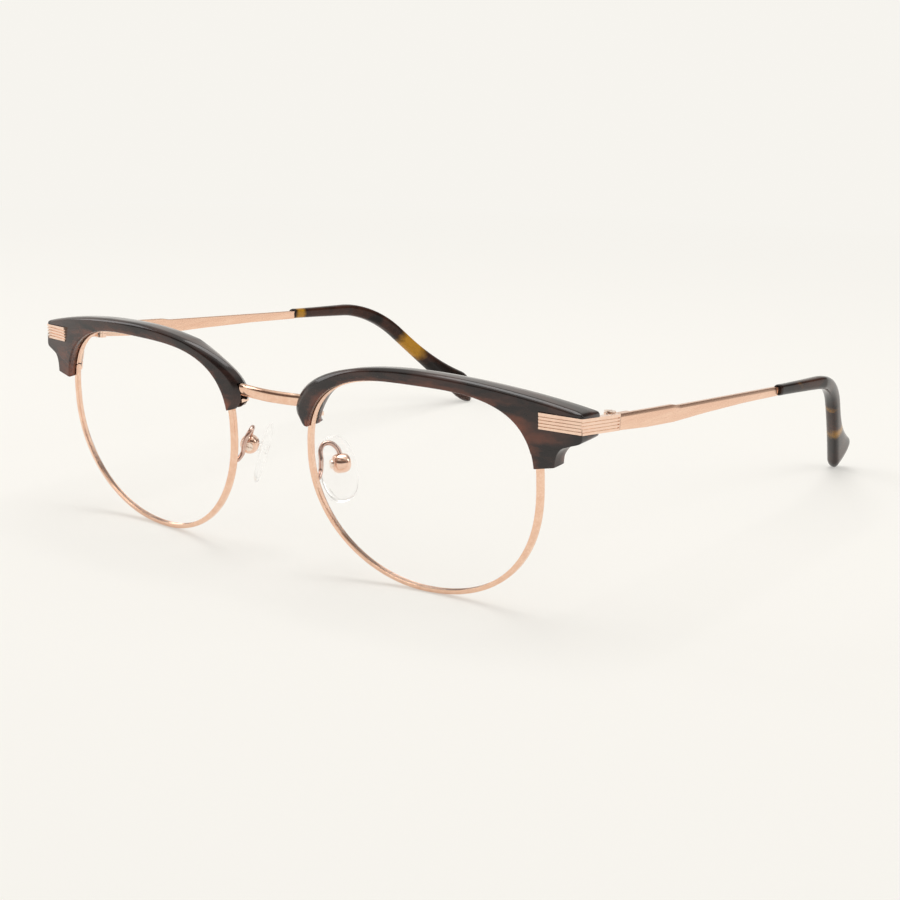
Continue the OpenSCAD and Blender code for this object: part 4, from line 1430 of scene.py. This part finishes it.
@dataclass
class Temples:
    """Both temples: a flat metal arm with a core wire, and the acetate tip over the wire."""

    # The arm's length, its shoulder, and its edges
    bare: float = 71.5
    joint: float = 0.05
    plate_h: float = 3.2
    head_step: float = 0.1
    shoulder: float = 22.5
    shoulder_drop: float = 0.35
    shoulder_long: float = 3.6
    deep: float = 3.6
    thin: float = 2.0
    rise: float = 0.15
    chamfer: float = 0.36
    chamfer_h: float = 0.65
    ease_r: float = 0.12
    # The tip's middle line
    bend_at: float = 93.0
    bend_r: float = 34.0
    bend_a: float = 37.0
    drop: float = 34.0
    inward: float = 12.5
    inward_from: float = 3.0
    inward_power: float = 1.15
    twist: float = 16.0
    tip_z: float = 0.4
    tip_set: float = 0.3
    # The tip's section, from its mouth to the paddle's rounded end
    tip_h: float = 2.5
    tip_grow: float = 0.5
    tip_t: float = 2.3
    tip_thick: float = 3.5
    paddle_h: float = 8.3
    paddle_from: float = 4.0
    end_round: float = 5.0
    paddle_round: float = 6.5
    core_h: float = 1.4
    core_t: float = 0.8
    core_gap: float = 0.06
    core_stop: float = 16.0
    # Amber patches: place along the temple, half length and strength
    warm_spots: dict[Side, list[Point]] = field(default_factory=lambda: {
        Side.LEFT: [(82.0, 4.0, 0.32), (116.0, 3.0, 0.36), (130.0, 2.6, 0.56)],
        Side.RIGHT: [(74.0, 2.2, 1.0), (120.5, 5.4, 1.0)]})

    @property
    def bend_end(self) -> float:
        """Length from the joint to the end of the bend, along its middle."""
        return self.bend_at + self.bend_r * np.radians(self.bend_a)

    @property
    def end(self) -> float:
        """Length from the joint to the end of the tip, along its middle."""
        return self.bend_end + self.drop

    def turn(self, l: Array) -> Array:
        """Angle of the middle line below straight at each length, in radians."""
        return np.clip((l - self.bend_at) / self.bend_r, 0, np.radians(self.bend_a))

    def middle(self, l: Array) -> Array:
        """Middle line of the tip in the hinge's frame: straight, an arc down, straight, drifting inward.

        Args:
            l: lengths from the joint.

        Returns:
            The line's points, outward, back and up.
        """
        turn = self.turn(l)
        run = np.maximum(0, l - self.bend_end)
        inward_at = self.bend_at + self.inward_from
        part = np.maximum(0, l - inward_at) / (self.end - inward_at)
        x = HINGE.plate_in + HINGE.plate / 2 + self.tip_set - self.inward * part**self.inward_power
        y = np.minimum(l, self.bend_at) + self.bend_r * np.sin(turn) + run * np.cos(turn)
        z = self.tip_z - self.bend_r * (1 - np.cos(turn)) - run * np.sin(turn)
        return np.stack([x, y, z], axis=-1)

    def rings(self, l: Array, half_t: Array, up: Array, down: Array, corners: Array) -> Array:
        """Sections across the middle line, twisted a little more toward the end.

        Args:
            l: lengths from the joint.
            half_t: half thickness at each.
            up: height above the middle at each.
            down: height below it.
            corners: the unit section.

        Returns:
            The rings on the front's plane.
        """
        turn = self.turn(l)[:, None]
        twist = np.radians(self.twist) * ease((l - self.bend_at) / (self.end - self.bend_at))[:, None]
        normal = np.concatenate([0 * turn, np.sin(turn), np.cos(turn)], axis=1)
        sideways = np.array([1.0, 0.0, 0.0])
        across = (np.cos(twist) * sideways - np.sin(twist) * normal)[:, None]
        along = (np.cos(twist) * normal + np.sin(twist) * sideways)[:, None]
        height = np.where(corners[None, :, 1] > 0, up[:, None], down[:, None]) * corners[None, :, 1]
        width = half_t[:, None] * corners[None, :, 0]
        return HINGE.place(self.middle(l)[:, None] + width[..., None] * across + height[..., None] * along)

    def arm(self) -> Shell:
        """The flat arm: its upper and lower edge run with length, its outer edges are chamfered.

        Returns:
            The closed skin.
        """
        head = self.plate_h / 2
        flat = head - self.head_step
        near, far = self.shoulder - 3.5, self.shoulder + 7.5
        y = np.unique(np.concatenate([
            np.linspace(self.joint, near, 20), np.linspace(near, far, 45), np.linspace(far, self.bare, 50)]))
        step = ease((y - self.shoulder + self.shoulder_long / 3) / self.shoulder_long)
        top = flat + (head - flat) * (1 - share(y, 0, near)) - self.shoulder_drop * step
        belly, slim = flat - self.deep, self.rise - self.thin / 2
        low = np.interp(
            y,
            [self.joint, self.shoulder / 2, self.shoulder, self.shoulder + 14, self.shoulder + 32, self.bare],
            [-head, belly + 0.05, belly, belly + 0.6, slim - 0.15, slim])
        inner, outer = HINGE.plate_in, HINGE.plate_in + HINGE.plate
        under = self.chamfer / 2
        corners = [
            (inner, top), (outer - self.chamfer, top), (outer, top - self.chamfer_h),
            (outer, low + under), (outer - under, low), (inner, low)]
        section = np.stack([np.stack([np.full_like(y, x), y, z], axis=1) for x, z in corners], axis=1)
        return skin(HINGE.place(rounded(section, self.ease_r)))

    def core(self, grow: float, start: float, end: float) -> Array:
        """Rings of the core wire, or of the bore round it.

        Args:
            grow: how much thicker than the wire on every side.
            start: length from the joint to its start.
            end: length from the joint to its end.

        Returns:
            The rings on the front's plane.
        """
        l = np.linspace(start, end, 90)
        half = np.full_like(l, self.core_h / 2 + grow)
        return self.rings(l, np.full_like(l, self.core_t / 2 + grow), half, half, oval(48, 9))

    def stations(self) -> Array:
        """Lengths of the tip's sections: even, then crowded toward the end along a quarter sine.

        Returns:
            The lengths, from the mouth on.
        """
        u = np.linspace(0, 1, 150)
        way = np.where(u < 0.8, u * 1.1, 0.88 + 0.12 * np.sin(np.radians((u - 0.8) / 0.2 * 87.5)))
        return self.bare + (self.end - self.bare) * way

    def tip(self, side: Side) -> Shell:
        """The tip: slim at its mouth, growing above its middle to a paddle with a rounded end.

        The paddle's extra height grows as the square of the way along it; at the end, thickness
        and heights close as the root of one less the square of what is left.

        Args:
            side: the side, whose warm spots it takes.

        Returns:
            The closed tip with its bore.
        """
        l = self.stations()
        left = self.end - l
        bend = ease((l - self.bare) / (self.bend_end - self.bare))
        paddle = share(l, self.bend_end + self.paddle_from, self.end - 4) ** 2
        half = self.tip_h / 2 + self.tip_grow * bend

        def closing(start: float) -> Array:
            """How far the section is open near the end."""
            return np.sqrt(np.maximum(1e-6, 1 - (1 - np.minimum(left / start, 1)) ** 2))

        mouth = 1 - 0.12 * np.maximum(0, 1 - (l - self.bare) / 0.5) ** 2
        thick = closing(self.end_round) * (self.tip_t + (self.tip_thick - self.tip_t) * bend) / 2 * mouth
        up = closing(self.paddle_round) * (half + (self.paddle_h - self.tip_h - 0.8) * paddle) * mouth
        outside = self.rings(l, thick, up, closing(self.end_round) * half * mouth, oval(48, 2.6))
        bore = self.core(self.core_gap, self.end - self.core_stop + 0.2, self.bare)
        spots = sum(size * np.exp(-((l - at) / wide) ** 2) for at, wide, size in self.warm_spots[side])
        warm = np.concatenate([np.zeros(len(bore)), np.clip(spots, 0, 1)])[:, None]
        return skin(np.concatenate([bore, outside]), warm=warm)

    def build(self, metal: Dress, acetate: Dress) -> None:
        """Makes arm and tip of both sides.

        Args:
            metal: the arms' finish.
            acetate: the tips' finish.
        """
        core = skin(self.core(0, self.bare - 0.5, self.end - self.core_stop))
        for side in Side:
            body = side.named("temple")
            arm = add_object(side.named("temple_arm"), fill_mesh("temple_arm", [self.arm(), core], side))
            finish_piece(arm, metal, body, body)
            tip = add_object(side.named("tip_sleeve"), fill_mesh("tip_sleeve", [self.tip(side)], side))
            finish_piece(tip, acetate, body, side.named("temple_tip"))


@dataclass
class Fittings:
    """Small metal parts whose solids are right: they get eased edges and a finish of their own."""

    cast: tuple[str, ...] = ("end_piece", "hinge_front", "hinge_temple", "brow_lug",
                             "rim_block_upper", "rim_block_lower", "end_rivets")
    steel: tuple[str, ...] = ("hinge_screw", "pad_screw", "brow_screw", "rim_screw")
    edge: float = 0.04
    merge: float = 0.001
    flat_angle: float = 0.5

    def ease_node(self, frame: dict, node: str, body: str, dress: Dress) -> None:
        """Makes a merged copy of a solid with eased edges, which then stands for it.

        Args:
            frame: the loaded frame.
            node: the solid's name.
            body: the body it rides on.
            dress: its finish.
        """
        mesh = frame["nodes"][node].data.copy()
        grid = bmesh.new()
        grid.from_mesh(mesh)
        bmesh.ops.remove_doubles(grid, verts=grid.verts, dist=self.merge * MM)
        flat = np.radians(self.flat_angle)
        bmesh.ops.dissolve_limit(grid, angle_limit=flat, verts=grid.verts, edges=grid.edges)
        grid.to_mesh(mesh)
        grid.free()
        mesh.shade_smooth()
        mesh.set_sharp_from_angle(angle=np.radians(SHARP_ANGLE))
        piece = add_object(f"{node}_eased", mesh)
        add_bevel(piece, self.edge)
        finish_piece(piece, dress, body, node)

    def build(self, frame: dict, cast: Dress, steel: Dress) -> None:
        """Eases and dresses every fitting of both sides.

        Args:
            frame: the loaded frame.
            cast: the finish of end pieces, hinges, lugs, blocks and rivets.
            steel: the screws' finish.
        """
        for stems, dress in ((self.cast, cast), (self.steel, steel)):
            for stem in stems:
                for side in Side:
                    body = side.named("temple") if stem == "hinge_temple" else "front"
                    self.ease_node(frame, side.named(stem), body, dress)


@dataclass(frozen=True)
class Lamp:
    """A square soft lamp: its name, place and side in metres, and power in watts."""

    name: str
    at: Point
    size: float
    power: float

    def build(self) -> None:
        """Adds the lamp, facing the spectacles."""
        data = bpy.data.lights.new(self.name, "AREA")
        data.size = self.size
        data.energy = self.power
        lamp = bpy.data.objects.new(self.name, data)
        away = np.array(self.at) - [0.0, 0.0, 0.02]
        z = away / np.linalg.norm(away)
        x = np.cross([0.0, 1.0, 0.02], z)
        x /= np.linalg.norm(x)
        lamp.matrix_world = placed_axes(x, np.cross(z, x), z, self.at)
        bpy.context.scene.collection.objects.link(lamp)


def placed_axes(x: Array | Point, y: Array | Point, z: Array | Point, at: Point) -> Matrix:
    """The matrix that places an object by its three axes and its origin.

    Args:
        x: the object's own X axis.
        y: its Y axis.
        z: its Z axis.
        at: its origin in metres.

    Returns:
        The matrix.
    """
    axes = np.eye(4)
    axes[:3, 0], axes[:3, 1], axes[:3, 2], axes[:3, 3] = x, y, z, at
    return Matrix(axes.tolist())


@dataclass
class Studio:
    """Pale floor and surround, soft lamps, and the camera at the photograph's place."""

    backdrop: Color = (0.925, 0.905, 0.858)
    room: Color = (0.13, 0.1, 0.085)
    ambient: float = 0.6
    floor_half: float = 3.0
    eye: Point = (0.23678, -0.35501, 0.11652)
    right: Point = (0.82736, 0.56074, 0.03206)
    up: Point = (-0.16756, 0.19187, 0.96701)
    forward: Point = (-0.53609, 0.80544, -0.25271)
    sensor: float = 36.0
    lens: float = 72.57
    shift: tuple[float, float] = (-0.0373, 0.0203)
    lamps: tuple[Lamp, ...] = (
        Lamp("overhead", (-0.1, 0.1, 0.9), 0.6, 3.2), Lamp("left", (-0.75, -0.2, 0.45), 0.4, 1.2),
        Lamp("right", (0.7, 0.35, 0.5), 0.4, 1.2))

    def camera(self) -> None:
        """Places the camera."""
        data = bpy.data.cameras.new("camera")
        data.sensor_width = self.sensor
        data.lens = self.lens
        data.shift_x, data.shift_y = self.shift
        data.clip_start = 0.01
        camera = bpy.data.objects.new("camera", data)
        camera.matrix_world = placed_axes(self.right, self.up, -np.array(self.forward), self.eye)
        bpy.context.scene.collection.objects.link(camera)
        bpy.context.scene.camera = camera

    def floor(self) -> None:
        """Lays a wide pale floor that keeps a faint shadow near the spectacles and glows further off."""
        far = self.floor_half
        mesh = bpy.data.meshes.new("floor")
        mesh.from_pydata([(-far, -far, 0), (far, -far, 0), (far, far, 0), (-far, far, 0)], [], [(0, 1, 2, 3)])
        floor = add_object("floor", mesh)
        material = bpy.data.materials.new("Pale floor")
        material.use_nodes = True
        tree = Tree(material.node_tree)
        shader = material.node_tree.nodes["Principled BSDF"]
        shader.inputs["Base Color"].default_value = (*self.backdrop, 1)
        shader.inputs["Roughness"].default_value = 0.9
        shader.inputs["Specular IOR Level"].default_value = 0.0
        glow = tree.add("ShaderNodeEmission", {"Color": (*self.backdrop, 1), "Strength": 1.0})
        place = tree.add("ShaderNodeTexCoord")
        away = tree.add("ShaderNodeVectorMath", operation="LENGTH")
        tree.join(place.outputs["Object"], away.inputs[0])
        share_far = tree.ramp(away.outputs["Value"], 0.12, 0.6, 0.45, 1.0)
        mix = tree.add("ShaderNodeMixShader")
        tree.join(tree.math("MULTIPLY", self.seen(tree), share_far), mix.inputs["Fac"])
        tree.join(shader.outputs["BSDF"], mix.inputs[1])
        tree.join(glow.outputs["Emission"], mix.inputs[2])
        tree.join(mix.outputs["Shader"], material.node_tree.nodes["Material Output"].inputs["Surface"])
        mesh.materials.append(material)

    @staticmethod
    def seen(tree: Tree) -> Socket:
        """One for rays from the eye, also by way of glass or gloss.

        Args:
            tree: the tree that asks.

        Returns:
            The output with the answer.
        """
        light = tree.add("ShaderNodeLightPath")
        glossy = tree.math("MAXIMUM", light.outputs["Is Camera Ray"], light.outputs["Is Glossy Ray"])
        return tree.math("MAXIMUM", glossy, light.outputs["Is Transmission Ray"])

    def world(self) -> None:
        """Sets even light, a pale surround for the eye, and what shows in reflections.

        That is a dark room, bright below, overhead, and at a wall behind on the wearer's right.
        """
        world = bpy.data.worlds.new("studio")
        world.use_nodes = True
        bpy.context.scene.world = world
        tree = Tree(world.node_tree)
        light = tree.add("ShaderNodeLightPath")
        place = tree.add("ShaderNodeTexCoord")
        height = tree.add("ShaderNodeSeparateXYZ")
        tree.join(place.outputs["Generated"], height.inputs[0])
        below = tree.ramp(height.outputs["Z"], 0.1, 0.26, 1.0, 0.0)
        above = tree.ramp(height.outputs["Z"], 0.58, 0.84, 0.0, 1.0)
        wall = tree.ramp(tree.math("SUBTRACT", height.outputs["Y"], height.outputs["X"]), 0.8, 1.1, 0.0, 0.75)
        lit = tree.math("MAXIMUM", tree.math("MAXIMUM", below, above), wall)
        around = tree.blend(lit, self.room, self.backdrop)
        shown = tree.blend(light.outputs["Is Glossy Ray"], self.backdrop, around)
        surround = world.node_tree.nodes["Background"]
        tree.join(shown, surround.inputs["Color"])
        even = tree.add("ShaderNodeBackground", {"Color": (1, 0.985, 0.96, 1), "Strength": self.ambient})
        mix = tree.add("ShaderNodeMixShader")
        tree.join(self.seen(tree), mix.inputs["Fac"])
        tree.join(even.outputs["Background"], mix.inputs[1])
        tree.join(surround.outputs["Background"], mix.inputs[2])
        tree.join(mix.outputs["Shader"], world.node_tree.nodes["World Output"].inputs["Surface"])

    def build(self) -> None:
        """Sets up floor, surround, lamps and camera."""
        bpy.context.scene.view_settings.view_transform = "Standard"
        self.camera()
        self.floor()
        self.world()
        for lamp in self.lamps:
            lamp.build()


def main() -> None:
    """Loads the frame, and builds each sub-assembly in order."""
    logging.basicConfig(level=logging.INFO, format="%(name)s: %(message)s")
    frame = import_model()
    effects = Effects()
    wire, brushed, cast = (finish.build(effects) for finish in (ROSE_WIRE, ROSE_BRUSHED, ROSE_CAST))
    steel = SCREW_STEEL.build(effects)
    Studio().build()
    Eyewires().build(wire, LENS_GLASS.build(effects))
    Brows().build(BROW_ACETATE.build(effects))
    arms, polished = ARM_WIRE.build(effects), ROSE_POLISHED.build(effects)
    NoseParts().build(wire, arms, polished, PAD_CLEAR.build(effects))
    Temples().build(brushed, TIP_ACETATE.build(effects))
    Fittings().build(frame, cast, steel)


if __name__ == "__main__":
    main()
